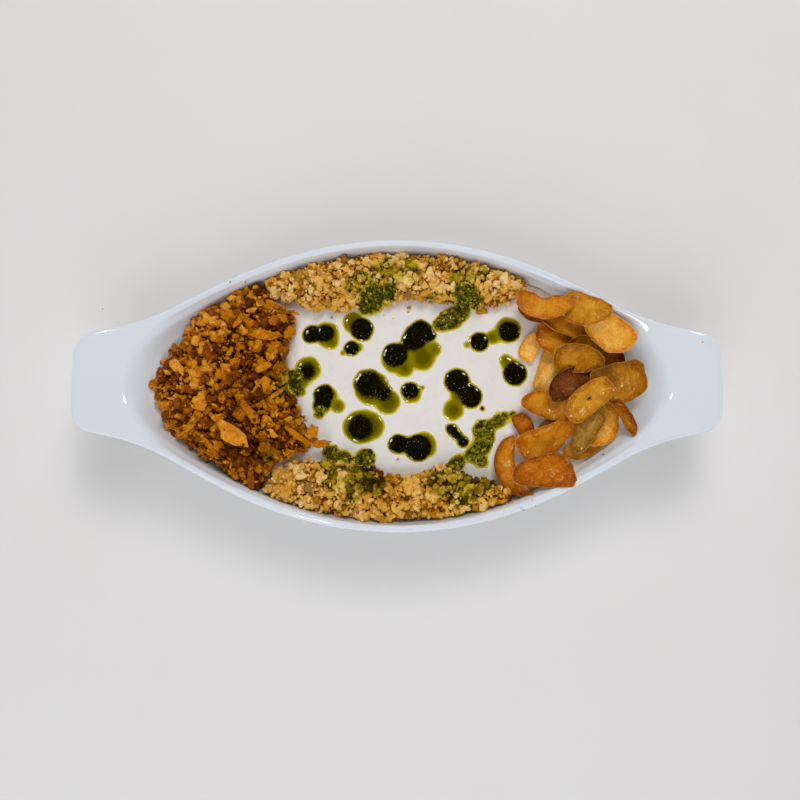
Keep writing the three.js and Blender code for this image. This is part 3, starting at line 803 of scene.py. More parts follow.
@dataclass(frozen=True)
class FriedGarlic:
    """A slice of garlic fried in oil: translucent amber, finely blistered, darker inside its rim."""

    name: str
    middle: str
    body: str
    rim: str
    freckle_and_painted_light: str
    spots_and_shade: str = "#5e2a00"
    browned: str = "#4a2106"
    germ_hole: str = "#1d0d03"
    sheen: str = "#ffcf80"

    def material(self) -> Material:
        """Builds the slice's skin.

        Returns:
            The material.
        """
        look = Look(
            f"fried garlic {self.name}", (1.6, 0.7, 0.1), IOR=1.46, Specular_IOR_Level=0.3,
            Specular_Tint=self.sheen, Subsurface_Weight=0.15, Coat_Weight=0.2, Coat_Roughness=0.14,
        )
        rim = look.add(Kind.PAINTED, "rim")
        spread = look.add(Kind.PRODUCT_SUM, look.cloud(4.0, 4, 0.65), 2.2, rim)
        stops = [(0.2, self.middle), (0.5, self.body), (0.85, self.rim)]
        colour = look.add(Kind.RAMP, look.add(Kind.RANGE, spread, 0.7, 2.2), stops=stops)
        # Painted light: the very edge is painted paler, as light shining through the thin rim.
        colour = look.add(Kind.MIX, look.add(Kind.RANGE, rim, 0.88, 0.97, 0.0, 0.6), colour, self.freckle_and_painted_light)
        # Blisters under half a millimetre: a paler and darker speckle that follows their relief, so their
        # tops are painted paler as highlight and the hollows between them darker as shade.
        grain = look.cloud(0.9, 3, 0.75)
        colour = look.add(Kind.MIX, look.add(Kind.RANGE, grain, 0.52, 0.66, 0.0, 0.55), colour, self.freckle_and_painted_light)
        colour = look.add(Kind.MIX, look.add(Kind.RANGE, grain, 0.47, 0.33, 0.0, 0.3), colour, self.spots_and_shade)
        colour = look.add(Kind.MIX, look.add(Kind.PAINTED, "stain"), colour, self.browned)
        colour = look.add(Kind.MIX, look.add(Kind.PAINTED, "pit"), colour, self.germ_hole)
        gloss = look.add(Kind.RANGE, look.cloud(2.5, 3), 0.3, 0.7, 0.28, 0.5)
        return look.finish(colour, gloss, (look.cloud(1.8, 3, 0.6), 0.3), (grain, 0.1))


# ---- Dish ----


@dataclass(frozen=True)
class RimOutline:
    """Outline of the rim from above: a long curved side, a hollow neck, an ear and its rounded corner."""

    half_length: float = 140.0
    half_width: float = 64.3
    side_radius: float = 161.0
    side_turn: float = math.radians(29)
    neck_radius: float = 100.0
    ear_slope: float = math.radians(12)
    ear_half_width: float = 21.6
    corner_radius: float = 10.0
    tip_turn: float = math.radians(4)

    def quarter(self) -> Array:
        """Points of a quarter of the rim.

        Returns:
            Rows of x and y, from the middle of a long side to the tip of an ear.
        """
        turn, slope, upright = self.side_turn, self.ear_slope, math.pi / 2 - self.tip_turn

        def fall(a: float, b: float) -> float:
            """How far an arc of radius 1 between two headings comes in."""
            return math.cos(a) - math.cos(b)

        def run(a: float, b: float) -> float:
            """How far an arc of radius 1 between two headings goes along."""
            return math.sin(b) - math.sin(a)

        tip_radius = self.ear_half_width - self.corner_radius * fall(slope, upright)
        tip_radius /= math.sin(self.tip_turn)
        corner_start = self.half_length - tip_radius * (1 - math.cos(self.tip_turn))
        corner_start -= self.corner_radius * run(slope, upright)
        run_left = corner_start - self.side_radius * math.sin(turn) - self.neck_radius * run(slope, turn)
        fall_left = self.half_width - self.ear_half_width - self.side_radius * fall(0, turn)
        fall_left -= self.neck_radius * fall(slope, turn)
        flank = (fall_left * math.cos(slope) - run_left * math.sin(slope)) / math.sin(turn - slope)
        ear = (run_left - flank * math.cos(turn)) / math.cos(slope)
        stretches = [
            (self.side_radius * turn, 0.0, turn, 60),
            (flank, turn, turn, 2),
            (self.neck_radius * (turn - slope), turn, slope, 60),
            (ear, slope, slope, 2),
            (self.corner_radius * (upright - slope), slope, upright, 60),
            (tip_radius * self.tip_turn, upright, math.pi / 2, 60),
        ]
        points = [(0.0, self.half_width)]
        for length, heading, heading_end, steps in stretches:
            for k in range(steps):
                middle = heading + (heading_end - heading) * (k + 0.5) / steps
                x, y = points[-1]
                points.append((x + length / steps * math.cos(middle), y - length / steps * math.sin(middle)))
        return np.maximum(np.array(points), 0.0)

    def radius(self, direction: Array) -> Array:
        """Distance from the middle of the dish to the rim.

        Args:
            direction: Directions in radians.

        Returns:
            The distances.
        """
        x, y = self.quarter()[::-1].T
        wanted = np.arctan2(np.abs(np.sin(direction)), np.abs(np.cos(direction)))
        angle = np.arctan2(y, x)
        return np.hypot(np.interp(wanted, angle, x), np.interp(wanted, angle, y))


@dataclass(frozen=True)
class Basin:
    """The dish's inner wall, from its floor to the lip."""

    floor_height: float = 5.4
    # The wall's curve at the long sides and at the ends, as distances from the middle and heights.
    side_wall: tuple = ((36, floor_height), (51, floor_height), (57.5, 20), (60.8, 33))
    end_wall: tuple = ((68, floor_height), (84, floor_height), (100, 24), (114.5, 36.4))
    shoulder_pinch: float = 0.07
    lip: tuple[float, float] = (118.5, 61.3)
    rise_from: float = 55.0
    rise_to: float = 135.0
    fill_height: float = 26.5
    rim: RimOutline = field(default_factory=RimOutline)

    @staticmethod
    def cubic(points: tuple, share: float) -> tuple[float, float]:
        """Point on a cubic curve given by four control points."""
        weights = [(1 - share) ** 3, 3 * (1 - share) ** 2 * share, 3 * (1 - share) * share**2, share**3]
        across, up = (sum(w * p[axis] for w, p in zip(weights, points)) for axis in (0, 1))
        return across, up

    @staticmethod
    def contour(half_length: float, half_width: float, pinch: float, t: Array, inset: float = 0.0) -> Array:
        """Points of a slightly pinched oval at parameters t, drawn in by an inset."""
        shrink = 1 - pinch * np.sin(2 * t) ** 2
        along = (half_length - inset) * np.cos(t) * shrink
        return np.stack([along, (half_width - inset) * np.sin(t) * shrink], axis=1)

    def ear_share(self, t: Array) -> Array:
        """How far the rise towards the ears has gone, from 0 to 1.

        Args:
            t: Parameters around a ring.

        Returns:
            The shares.
        """
        x, y = self.contour(*self.lip, self.shoulder_pinch, t).T
        direction = np.arctan2(y, x)
        along = np.abs(self.rim.radius(direction) * np.cos(direction))
        return smoothstep(along, self.rise_from, self.rise_to)

    def wall_ring(self, share: float, t: Array, inset: float = 0.0, lift: float = 0.0) -> Array:
        """Ring of the inner wall.

        Args:
            share: How far up the wall, from 0 to 1.
            t: Parameters around the ring.
            inset: How far inside the wall.
            lift: How far above it.

        Returns:
            Rows of x, y and z.
        """
        half_width, side_height = self.cubic(self.side_wall, share)
        half_length, end_height = self.cubic(self.end_wall, share)
        flat = self.contour(half_length, half_width, self.shoulder_pinch * share**3, t, inset)
        return np.c_[flat, side_height + (end_height - side_height) * self.ear_share(t) + lift]

    def at_height(self, height: float) -> tuple[float, float, float]:
        """Measures the wall's contour at a height.

        Args:
            height: The height in millimetres.

        Returns:
            Half-length, half-width and pinch.
        """

        def share_at(wall: tuple) -> float:
            """Share of the way up at which a wall reaches the height."""
            shares = np.linspace(0, 1, 400)
            return float(np.interp(height, [self.cubic(wall, s)[1] for s in shares], shares))

        side = share_at(self.side_wall)
        return (
            self.cubic(self.end_wall, share_at(self.end_wall))[0],
            self.cubic(self.side_wall, side)[0],
            self.shoulder_pinch * side**3,
        )

    def inside(self, plane: Array, height: float, inset: float = 0.0) -> Array:
        """About how far inside the wall's contour at a height some places are, in millimetres.

        Args:
            plane: Rows of x and y.
            height: The contour's height.
            inset: How far inside the wall it runs.

        Returns:
            The distances, negative outside.
        """
        half_length, half_width, pinch = self.at_height(height)
        t = np.arctan2(plane[:, 1] / half_width, plane[:, 0] / half_length)
        edge = np.hypot(*self.contour(half_length, half_width, pinch, t, inset).T)
        return edge - np.hypot(*plane.T)


@dataclass
class PorcelainDish:
    """The eared oval dish: basin, rolled rim, ears and foot ring, as one closed piece."""

    basin: Basin
    columns: int = 360
    wall_rows: int = 22
    rim_height: float = 36.0
    ear_rise: float = 7.0
    foot_recess: float = 1.6
    # Height under which the clay is bare.
    bare_below: float = 0.25
    # Heights between which the inner wall is painted whiter, as painted light.
    painted_wall_light: tuple[float, float] = (27.0, 34.0)
    # How much closer together its columns are at the ears.
    crowding: float = 0.2
    # Stations over the rim: share of the way out from the lip, inset, and height at the long sides and ears.
    rim_stations: tuple = (
        (0, 0, -0.9, -3.4), (0.35, 2.4, -0.25, -1.7), (1, 1.9, 0, 0), (1, 0.55, -0.45, -0.45),
        (1, 0, -1.7, -1.7), (1, 0.5, -3.2, -3.6), (1, 1.5, -6, -5),
    )
    # Stations down the outer wall: half-width and its height, half-length and its height.
    outer_stations: tuple = (
        (61.6, 24, 118, 32.4), (58.8, 15, 109, 22.5), (53.6, 7.2, 98, 10.5), (47, 2.7, 86, 3.4),
        (43.2, 1.5, 77, 1.5), (42.4, 0, 76.2, 0), (38.4, 0, 72.2, 0), (37.4, foot_recess, 71.2, foot_recess),
    )
    # Where food has smeared the wall.
    smear: Disc = (-67, 45, 7)

    def parameters(self) -> Array:
        """Ring parameters, closer together at the ears."""
        even = np.linspace(0, 2 * np.pi, self.columns, endpoint=False)
        return even - self.crowding * np.sin(2 * even)

    def rim_rings(self, t: Array) -> list[Array]:
        """Rings over the rim, from the lip outwards.

        Args:
            t: Parameters around each ring.

        Returns:
            The rings.
        """
        lip = self.basin.contour(*self.basin.lip, self.basin.shoulder_pinch, t)
        direction = np.arctan2(lip[:, 1], lip[:, 0])
        rise = self.basin.ear_share(t)
        rim_radius = self.basin.rim.radius(direction)
        rings = []
        for blend, inset, side, ear in self.rim_stations:
            reach = np.hypot(*lip.T) * (1 - blend) + (rim_radius - inset) * blend
            height = self.rim_height + self.ear_rise * rise + side + (ear - side) * rise
            rings.append(np.stack([reach * np.cos(direction), reach * np.sin(direction), height], axis=1))
        return rings

    def outside_rings(self, t: Array) -> list[Array]:
        """Rings down the outer wall and over the foot ring.

        Args:
            t: Parameters around each ring.

        Returns:
            The rings.
        """
        rise = self.basin.ear_share(t)
        rings = []
        for order, (half_width, side, half_length, end) in enumerate(self.outer_stations):
            pinch = self.basin.shoulder_pinch * (1 - order / len(self.outer_stations)) ** 2
            flat = self.basin.contour(half_length, half_width, pinch, t)
            rings.append(np.c_[flat, side + (end - side) * rise])
        return rings

    def build(self) -> Piece:
        """Makes and dresses the dish.

        Returns:
            The dish.
        """
        t = self.parameters()
        wall = [self.basin.wall_ring(share, t) for share in np.linspace(0, 1, self.wall_rows)]
        over = smooth_stations(np.array([*wall[-2:], *self.rim_rings(t), *self.outside_rings(t)]), 5)[6:]
        under = [over[-1] * (share, share, 1) for share in (0.75, 0.45, 0.2)]
        floor = [wall[0] * (share, share, 1) for share in (0.3, 0.6, 0.85)]
        rings = np.concatenate([floor, wall, over, under])
        rings[:, :, 2] = np.maximum(rings[:, :, 2], 0)
        points, faces = ring_solid(rings, (0, 0, self.basin.floor_height), (0, 0, self.foot_recess))
        dish = new_object("porcelain_dish", points, faces)
        mesh = dish.data
        inner = len(floor) + len(wall)
        facing_in = np.arange(len(points)) <= inner * self.columns
        height = points[:, 2]
        trace = facing_in * smoothstep(-height, -self.basin.fill_height - 9, -self.basin.fill_height)
        trace *= 0.5 + 0.5 * noise(points, 14, 5)
        smear = faded(points, [self.smear])
        paint(mesh, "trace", np.clip(0.7 * trace + 0.9 * smear * facing_in, 0, 1))
        # Painted light: the inner wall is whitened between these heights, under the attribute inside.
        paint(mesh, "inside", facing_in * smoothstep(-height, -self.painted_wall_light[1], -self.painted_wall_light[0]))
        mesh.materials.append(GlazedPorcelain().material())
        mesh.materials.append(Bisque().material())
        for polygon in mesh.polygons:
            polygon.material_index = int(polygon.center.z < self.bare_below * MM)
        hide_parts("dish")
        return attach(dish, BODY)


# ---- Dip and sauce ----


@dataclass
class SaucePool:
    """The pool of whey sauce, which has run out to the wall under the garlic."""

    basin: Basin
    half_length: float = 87.0
    half_width: float = 50.5
    wave: float = 0.02
    dome: float = 0.55
    well: float = 3.2
    gap: float = 0.35
    pitch: float = 0.75
    # Width of its rounded edge.
    edge: float = 1.6
    # Where along the dish it leaves its oval to run out to the wall, and where it creeps up the wall.
    run_out: tuple[float, float] = (30.0, 62.0)
    creep: tuple[float, float] = (40.0, 66.0)
    # Where its edge comes to lie just inside the wall, and how far.
    tuck: tuple[float, float] = (58.0, 70.0)
    tuck_depth: float = 1.5

    def share(self, plane: Array) -> Array:
        """How far out places are, with 1 at the pool's edge."""
        t = np.arctan2(plane[:, 1] / self.half_width, plane[:, 0] / self.half_length)
        ripple = 1 + self.wave * (np.sin(3 * t + 0.6) + 0.6 * np.sin(7 * t + 2))
        return np.hypot(plane[:, 0] / self.half_length, plane[:, 1] / self.half_width) / ripple

    def inside(self, plane: Array) -> Array:
        """About how far inside the wet outline places are, in millimetres.

        Args:
            plane: Rows of x and y.

        Returns:
            The distances, negative outside.
        """
        pool = (1 - self.share(plane)) * self.half_width
        wall = self.basin.inside(plane, self.basin.fill_height + 0.8, 0.1)
        wall += self.tuck_depth * smoothstep(plane[:, 0], *self.tuck)
        return pool + smoothstep(plane[:, 0], *self.run_out) * (wall - pool)

    def level(self, plane: Array) -> Array:
        """Height of the sauce away from its edge, with slow swells and the trails of the spoon."""
        swell = 0.22 * noise(plane, 17, 3) + 0.1 * noise(plane, 6.5, 8)
        share = np.minimum(self.share(plane), 1)
        return self.basin.fill_height + self.dome * (1 - share**2) + swell

    def top(self, plane: Array) -> Array:
        """Height of the upper side, rounded off at the edge.

        Args:
            plane: Rows of x and y.

        Returns:
            The heights.
        """
        depth = np.clip(self.inside(plane) / self.edge, 0, 1)
        # The free edge is rounded off; the film that has run to the wall creeps up it.
        fall = 0.9 - 1.5 * smoothstep(plane[:, 0], *self.creep)
        return self.level(plane) - fall * (1 - np.sqrt(np.clip(1 - (1 - depth) ** 2, 0, 1)))

    def bottom(self, plane: Array) -> Array:
        """Height of the underside, which follows the well in the dip."""
        deep = smoothstep(self.share(plane), 0.99, 0.94)
        edge = np.clip(self.inside(plane) / self.edge, 0, 1)
        return self.basin.fill_height - 1.1 - 0.25 * edge - (self.well - self.gap - 1.35) * deep

    def build(self) -> Piece:
        """Makes and dresses the pool.

        Returns:
            The pool.
        """
        points, faces = field_solid((-92, -58), (110, 58), self.pitch, self.inside, self.top, self.bottom)
        pool = new_object("whey_pool", points, faces)
        flatten_sides(pool.data)
        # Colour from the onions on one side, the garlic on the other and the nuts along both.
        plane = points[:, :2]
        under_garlic = smoothstep(plane[:, 0], 42, 62) * smoothstep(-plane[:, 0], -94, -84)
        stain = smoothstep(-plane[:, 0], 30, 62) + 0.5 * under_garlic
        stain += 0.6 * smoothstep(np.abs(plane[:, 1]), 27, 44)
        paint(pool.data, "stain", np.clip(stain, 0, 1))
        paint(pool.data, "thin", smoothstep(plane[:, 0], 78, 90))
        pool.data.materials.append(WheySauce().material())
        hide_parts("whey_sauce")
        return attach(pool, BODY)


@dataclass
class DipMash:
    """The eggplant dip itself, which fills the basin under everything and shows only between the toppings."""

    basin: Basin
    sauce: SaucePool
    columns: int = 150
    rows: int = 34
    underside: float = 5.75

    def top_height(self, plane: Array) -> Array:
        """Height of the coarse upper side, sunk where the sauce lies."""
        lumps = 0.5 * rough(plane, 3.6, 3, 31)
        bank = smoothstep(self.sauce.share(plane), 0.985, 1.03)
        return self.basin.fill_height - 0.25 + bank * lumps - (1 - bank) * (self.sauce.well - 0.25)

    def build(self) -> Piece:
        """Makes and dresses the dip.

        Returns:
            The dip.
        """
        t = np.linspace(0, 2 * np.pi, self.columns, endpoint=False)
        half_length, half_width, pinch = self.basin.at_height(self.basin.fill_height)
        edge = self.basin.contour(half_length, half_width, pinch, t, 0.4)
        rings = []
        for share in np.linspace(0, 1, self.rows + 1)[1:]:
            plane = edge * share
            rings.append(np.c_[plane, self.top_height(plane)])
        rings[-1][:, 2] = self.basin.fill_height - 0.7
        rings += [self.basin.wall_ring(share, t, 0.6, 0.3) for share in (0.7, 0.5, 0.3, 0.12, 0.0)]
        middle = self.top_height(np.zeros((1, 2)))[0]
        points, faces = ring_solid(np.array(rings), (0, 0, middle), (0, 0, self.underside))
        dip = new_object("eggplant_mash", points, faces)
        dip.data.materials.append(EggplantMash().material())
        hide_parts("eggplant_dip")
        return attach(dip, BODY)


# ---- Crumbs ----


def ball(detail: int, radius: float) -> Solid:
    """A ball made of triangles.

    Args:
        detail: How often its 20 triangles are divided.
        radius: Its radius.

    Returns:
        Vertices and faces.
    """
    work = bmesh.new()
    bmesh.ops.create_icosphere(work, subdivisions=detail + 1, radius=radius)
    points = np.array([vertex.co for vertex in work.verts])
    faces = [tuple(vertex.index for vertex in polygon.verts) for polygon in work.faces]
    work.free()
    return points, faces


def nugget_points(seed: int, detail: int, cuts: int, unevenness: float) -> Solid:
    """A broken crumb about one unit across.

    Args:
        seed: Picks one of many crumbs.
        detail: How often the starting shape of 20 faces is divided.
        cuts: How many flat breaks it has.
        unevenness: How lumpy it is between the breaks.

    Returns:
        Vertices and faces.
    """
    points, faces = ball(detail, 0.5)
    source = np.random.default_rng(seed)
    points *= source.uniform(0.72, 1.15, 3)
    for _ in range(cuts):
        direction = source.normal(size=3)
        direction /= np.linalg.norm(direction)
        beyond = np.maximum(points @ direction - source.uniform(0.2, 0.36), 0)
        points -= beyond[:, None] * direction
    lumps = noise(points + seed, 0.42, seed) + 0.5 * noise(points + seed, 0.21, seed + 3)
    points *= 1 + unevenness * lumps[:, None]
    return points, faces


def cluster_points(seed: int, detail: int, balls: int) -> Solid:
    """A rough crumb about one unit across, grown together from small balls.

    Args:
        seed: Picks one of many crumbs.
        detail: How finely it is divided.
        balls: How many balls it has.

    Returns:
        Vertices and faces.
    """
    directions, faces = ball(detail, 1.0)
    source = np.random.default_rng(seed)
    reach = np.full(len(directions), 0.2)
    for _ in range(balls):
        centre = source.normal(size=3) * (0.24, 0.19, 0.16)
        radius = source.uniform(0.13, 0.26)
        toward = directions @ centre
        inside = toward**2 - centre @ centre + radius**2
        reach = np.maximum(reach, np.where(inside > 0, toward + np.sqrt(np.maximum(inside, 0)), 0))
    reach *= 1 + 0.12 * noise(directions * 1.2 + seed, 0.4, seed)
    return directions * reach[:, None], faces


def chip_points(
    seed: int, length: float, width: float, thickness: float, curl: float, steps: int = 26
) -> Solid:
    """A curled chip with broken, ragged sides.

    Args:
        seed: Picks one of many chips.
        length: Length of the chip.
        width: Width at its middle.
        thickness: Thickness.
        curl: How far its ends turn up, as a share of its length.
        steps: How finely its outline is divided.

    Returns:
        Vertices and faces.
    """
    source = np.random.default_rng(seed)
    corners = source.integers(6, 9)
    directions = (np.arange(corners) + source.uniform(-0.35, 0.35, corners)) * 2 * math.pi / corners
    reach = source.uniform(0.75, 1.15, corners)
    turn = np.linspace(0, 2 * math.pi, steps, endpoint=False)
    x = np.interp(turn, directions, reach * np.cos(directions), period=2 * math.pi)
    y = np.interp(turn, directions, reach * np.sin(directions), period=2 * math.pi)
    ragged = 1 + 0.12 * noise(np.stack([x, y], axis=1) * 2 + seed, 0.7, seed)
    outline = np.stack([x * ragged * length / 2, y * ragged * width / 2], axis=1)
    across, twist = source.uniform(0.1, 0.45), source.uniform(-0.3, 0.3)

    def middle(plane: Array, _: Array) -> Array:
        """Height of the bent, buckled chip."""
        u, v = plane[:, 0] * 2 / length, plane[:, 1] * 2 / width
        bend = curl * length * u**2 + across * width * v**2 + twist * width * u * v
        return bend + 0.24 * width * noise(np.stack([u, v], axis=1) + seed, 0.8, seed + 1)

    points, faces, _ = plate_solid(outline, middle, thickness, 4, 7)
    return points, faces


@dataclass(frozen=True)
class StrewingSizes:
    """How densely, how large, how deep and how steeply tilted shapes lie, in millimetres and radians."""

    spacing: float
    smallest: float
    largest: float
    lowest: float
    highest: float
    tilt: float = math.pi


class StrewingTree:
    """Geometry nodes that strew shapes over a carrier's faces.

    A carrier's painted attribute "cover" says where they may lie.
    """

    INPUTS = {
        "Carrier": "Geometry", "Shapes": "Collection", "Finish": "Material", "Spacing": "Float",
        "Smallest": "Float", "Largest": "Float", "Tilt": "Float", "Lowest": "Float", "Highest": "Float",
        "Smooth": "Bool", "Seed": "Int",
    }
    # Points to each square metre before those nearer than the spacing are dropped.
    CROWD = 4e6

    def __init__(self) -> None:
        """Builds the tree."""
        self.tree = bpy.data.node_groups.new("strewing", "GeometryNodeTree")
        for name, kind in self.INPUTS.items():
            self.tree.interface.new_socket(name, in_out="INPUT", socket_type=f"NodeSocket{kind}")
        self.tree.interface.new_socket("Crumbs", in_out="OUTPUT", socket_type="NodeSocketGeometry")
        build = functools.partial(add, self.tree)
        given = build(Kind.GIVEN).node.outputs

        def random(kind: Kind, low: object, high: object, step: float) -> Socket:
            """A random value for each point between two limits, from the seed moved on by a step."""
            return build(kind, low, high, build(Kind.SUM, given["Seed"], step))

        cover = build(Kind.STORED, "cover")
        points = build(Kind.POINTS, given["Carrier"], given["Spacing"], self.CROWD, cover, given["Seed"])
        spread = points.node.outputs
        lift = random(Kind.NUMBER, given["Lowest"], given["Highest"], 1.0)
        placed = build(Kind.MOVED, points, build(Kind.STRETCH, spread["Normal"], lift))
        least = build(Kind.PRODUCT, given["Tilt"], -1.0)
        low = build(Kind.VECTOR, least, least, -math.pi)
        high = build(Kind.VECTOR, given["Tilt"], given["Tilt"], math.pi)
        turn = build(Kind.ROTATION, random(Kind.ANGLES, low, high, 2.0))
        rotation = build(Kind.ROTATED, spread["Rotation"], turn)
        # Small shapes are commoner than large ones.
        small = build(Kind.POWER, random(Kind.NUMBER, 0.0, 1.0, 3.0), 2.0)
        scale = build(Kind.RANGE, small, 0.0, 1.0, given["Smallest"], given["Largest"])
        shapes = build(Kind.CHILDREN, given["Shapes"], True, True)
        crumbs = build(Kind.COPIES, placed, shapes, True, rotation, scale)
        for name, step in (("tone", 4.0), ("pick", 5.0)):
            crumbs = build(Kind.STORE, crumbs, name, random(Kind.NUMBER, 0.0, 1.0, step))
        smooth = build(Kind.SMOOTHED, build(Kind.REAL, crumbs), given["Smooth"])
        build(Kind.RESULT, build(Kind.DRESSED, smooth, given["Finish"]))

    def strew(
        self,
        name: str,
        shapes: Shapes,
        sizes: StrewingSizes,
        seed: int,
        carrier: Piece,
        finish: Material,
        smooth: bool = True,
    ) -> Piece:
        """Strews shapes over a carrier.

        Args:
            name: Name of the new piece.
            shapes: Collection with the shapes, each drawn for a scale of 1.
            sizes: How they are strewn.
            seed: Picks one of many strewings.
            carrier: What the shapes lie on.
            finish: Their material.
            smooth: Whether they are shaded smooth.

        Returns:
            All the crumbs as one plain mesh.
        """
        modifier = carrier.modifiers.new("strewing", "NODES")
        modifier.node_group = self.tree
        values = {
            "Shapes": shapes, "Finish": finish, "Spacing": sizes.spacing * MM, "Smallest": sizes.smallest,
            "Largest": sizes.largest, "Tilt": sizes.tilt, "Lowest": sizes.lowest * MM,
            "Highest": sizes.highest * MM, "Smooth": smooth, "Seed": seed,
        }
        for socket in self.tree.interface.items_tree:
            if socket.in_out == "INPUT" and socket.name in values:
                modifier[socket.identifier] = values[socket.name]
        piece = linked(name, evaluated_mesh(carrier, name))
        carrier.modifiers.remove(modifier)
        if not piece.data.materials:
            piece.data.materials.append(finish)
        return piece


class CrumbShapes:
    """Collections of crumb shapes for strewing, kept out of the scene."""

    def __init__(self) -> None:
        """Starts with no collections."""
        self.made: list[Piece] = []

    def collection(self, name: str, shapes: Sequence[Solid]) -> Shapes:
        """Puts shapes into a collection of their own.

        Args:
            name: Name of the collection.
            shapes: The shapes, in millimetres.

        Returns:
            The collection, not linked to the scene.
        """
        group = bpy.data.collections.new(name)
        for number, solid in enumerate(shapes):
            shape = new_object(f"{name}_{number}", *solid)
            bpy.context.scene.collection.objects.unlink(shape)
            group.objects.link(shape)
            self.made.append(shape)
        return group

    def nuggets(self, name: str, count: int, detail: int, cuts: int, unevenness: float) -> Shapes:
        """A collection of broken crumbs, each about a millimetre across."""
        seeds = [7 * k + detail for k in range(count)]
        return self.collection(name, [nugget_points(seed, detail, cuts, unevenness) for seed in seeds])

    def clusters(self, name: str, count: int, detail: int, balls: int) -> Shapes:
        """A collection of rough crumbs, each about a millimetre across."""
        return self.collection(name, [cluster_points(11 * k + detail, detail, balls) for k in range(count)])

    def chips(self, name: str, count: int, length: float, width: float, thickness: float) -> Shapes:
        """A collection of curled chips of about one size.

        Args:
            name: Name of the collection.
            count: How many different chips.
            length: Typical length in millimetres.
            width: Typical width.
            thickness: Typical thickness.

        Returns:
            The collection.
        """
        source = np.random.default_rng(count)
        shapes = []
        for k in range(count):
            stretch = source.uniform(0.7, 1.3)
            curl = source.uniform(-0.12, 0.3)
            narrowed = width * source.uniform(0.7, 1.3)
            shapes.append(chip_points(31 + k, length * stretch, narrowed, thickness, curl))
        return self.collection(name, shapes)

    def clear(self) -> None:
        """Deletes the shapes once everything is strewn."""
        for shape in self.made:
            bpy.data.objects.remove(shape)
        self.made.clear()


def smooth_carrier(node: str, name: str, shrink: float, levels: int = 0, cell: float = 0.0) -> Piece:
    """A finely divided, welded copy of a CAD heap, painted with where crumbs may lie.

    Args:
        node: The CAD node.
        name: Name of the copy.
        shrink: How far its sides are drawn in.
        levels: How often its faces are divided, unless it gets even faces.
        cell: Size of the even faces, or 0 for divided ones.

    Returns:
        The copy as a plain mesh.
    """
    source = welded_copy(node, name + "_coarse")
    if cell:
        even = source.modifiers.new("even", "REMESH")
        even.mode = "VOXEL"
        even.voxel_size = cell * MM
    else:
        divide = source.modifiers.new("divide", "SUBSURF")
        divide.subdivision_type = "SIMPLE"
        divide.levels = divide.render_levels = levels
    mesh = evaluated_mesh(source, name)
    bpy.data.objects.remove(source)
    mesh.shade_smooth()
    normals = normals_of(mesh)
    paint(mesh, "cover", smoothstep(normals[:, 2], -0.15, 0.1))
    place_points(mesh, points_of(mesh) - shrink * normals * (1, 1, 0))
    return linked(name, mesh)


def faded(points: Array, discs: Sequence[Disc]) -> Array:
    """How strongly discs that fade out softly touch each point, added up.

    Args:
        points: Places in millimetres, one row each.
        discs: The discs.

    Returns:
        One value for each place.
    """
    total = np.zeros(len(points))
    for x, y, radius in discs:
        total += np.exp(-(((points[:, 0] - x) ** 2 + (points[:, 1] - y) ** 2) / radius**2))
    return total


def retone(piece: Piece, low: float, high: float, painted_shade: Sequence[Disc] = ()) -> None:
    """Carries a piece's tones from 0 to 1 into a narrower range and lets them drift from place to place.

    Args:
        piece: The piece.
        low: Tone that stands for 0.
        high: Tone that stands for 1.
        painted_shade: Areas painted darker, as shade.
    """
    tones = np.empty(len(piece.data.vertices), np.float32)
    piece.data.attributes["tone"].data.foreach_get("value", tones)
    points = points_of(piece.data)
    # Painted shade: tones are lowered in the given areas.
    tones = low + (high - low) * tones + 0.2 * noise(points, 9.0, 5) - 0.24 * faded(points, painted_shade)
    paint(piece.data, "tone", tones)


@dataclass
class Heap:
    """The smaller core of a heap of crumbs, painted dark as shade between them, in millimetres.

    Attributes:
        node: The CAD node.
        name: Name of the core.
        slot: Name of its slot, which is not used.
        sink: How far its upper side lies below the heap's.
        relief: How high its lumps are.
        grain: How wide they are.
        shrink: How far its sides are drawn in.
        seed: Picks its lumps.
        cell: Size of its even faces, or 0 for divided ones.
        tone: How pale it is, from 0 to 1.
    """

    node: str
    name: str
    slot: str
    sink: float
    relief: float
    grain: float
    shrink: float
    seed: int
    cell: float = 0.0
    tone: float = 0.12

    def core(self, finish: Material) -> Piece:
        """Makes the core that closes the gaps between the crumbs, painted dark as shade in those gaps.

        Args:
            finish: Its material.

        Returns:
            The core.
        """
        core = smooth_carrier(self.node, self.name, self.shrink, 3, self.cell)
        mesh = core.data
        points = points_of(mesh)
        low = points[:, 2].min()
        depth = self.sink - self.relief * rough(points, self.grain, 3, self.seed)
        upper = smoothstep(points[:, 2], low + 0.2, low + 1.5)
        place_points(mesh, points - normals_of(mesh) * (depth * upper)[:, None])
        paint(mesh, "tone", np.full(len(points), self.tone))
        paint(mesh, "mint", np.zeros(len(points)))
        mesh.materials.clear()
        mesh.materials.append(finish)
        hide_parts(self.node)
        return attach(core, BODY)


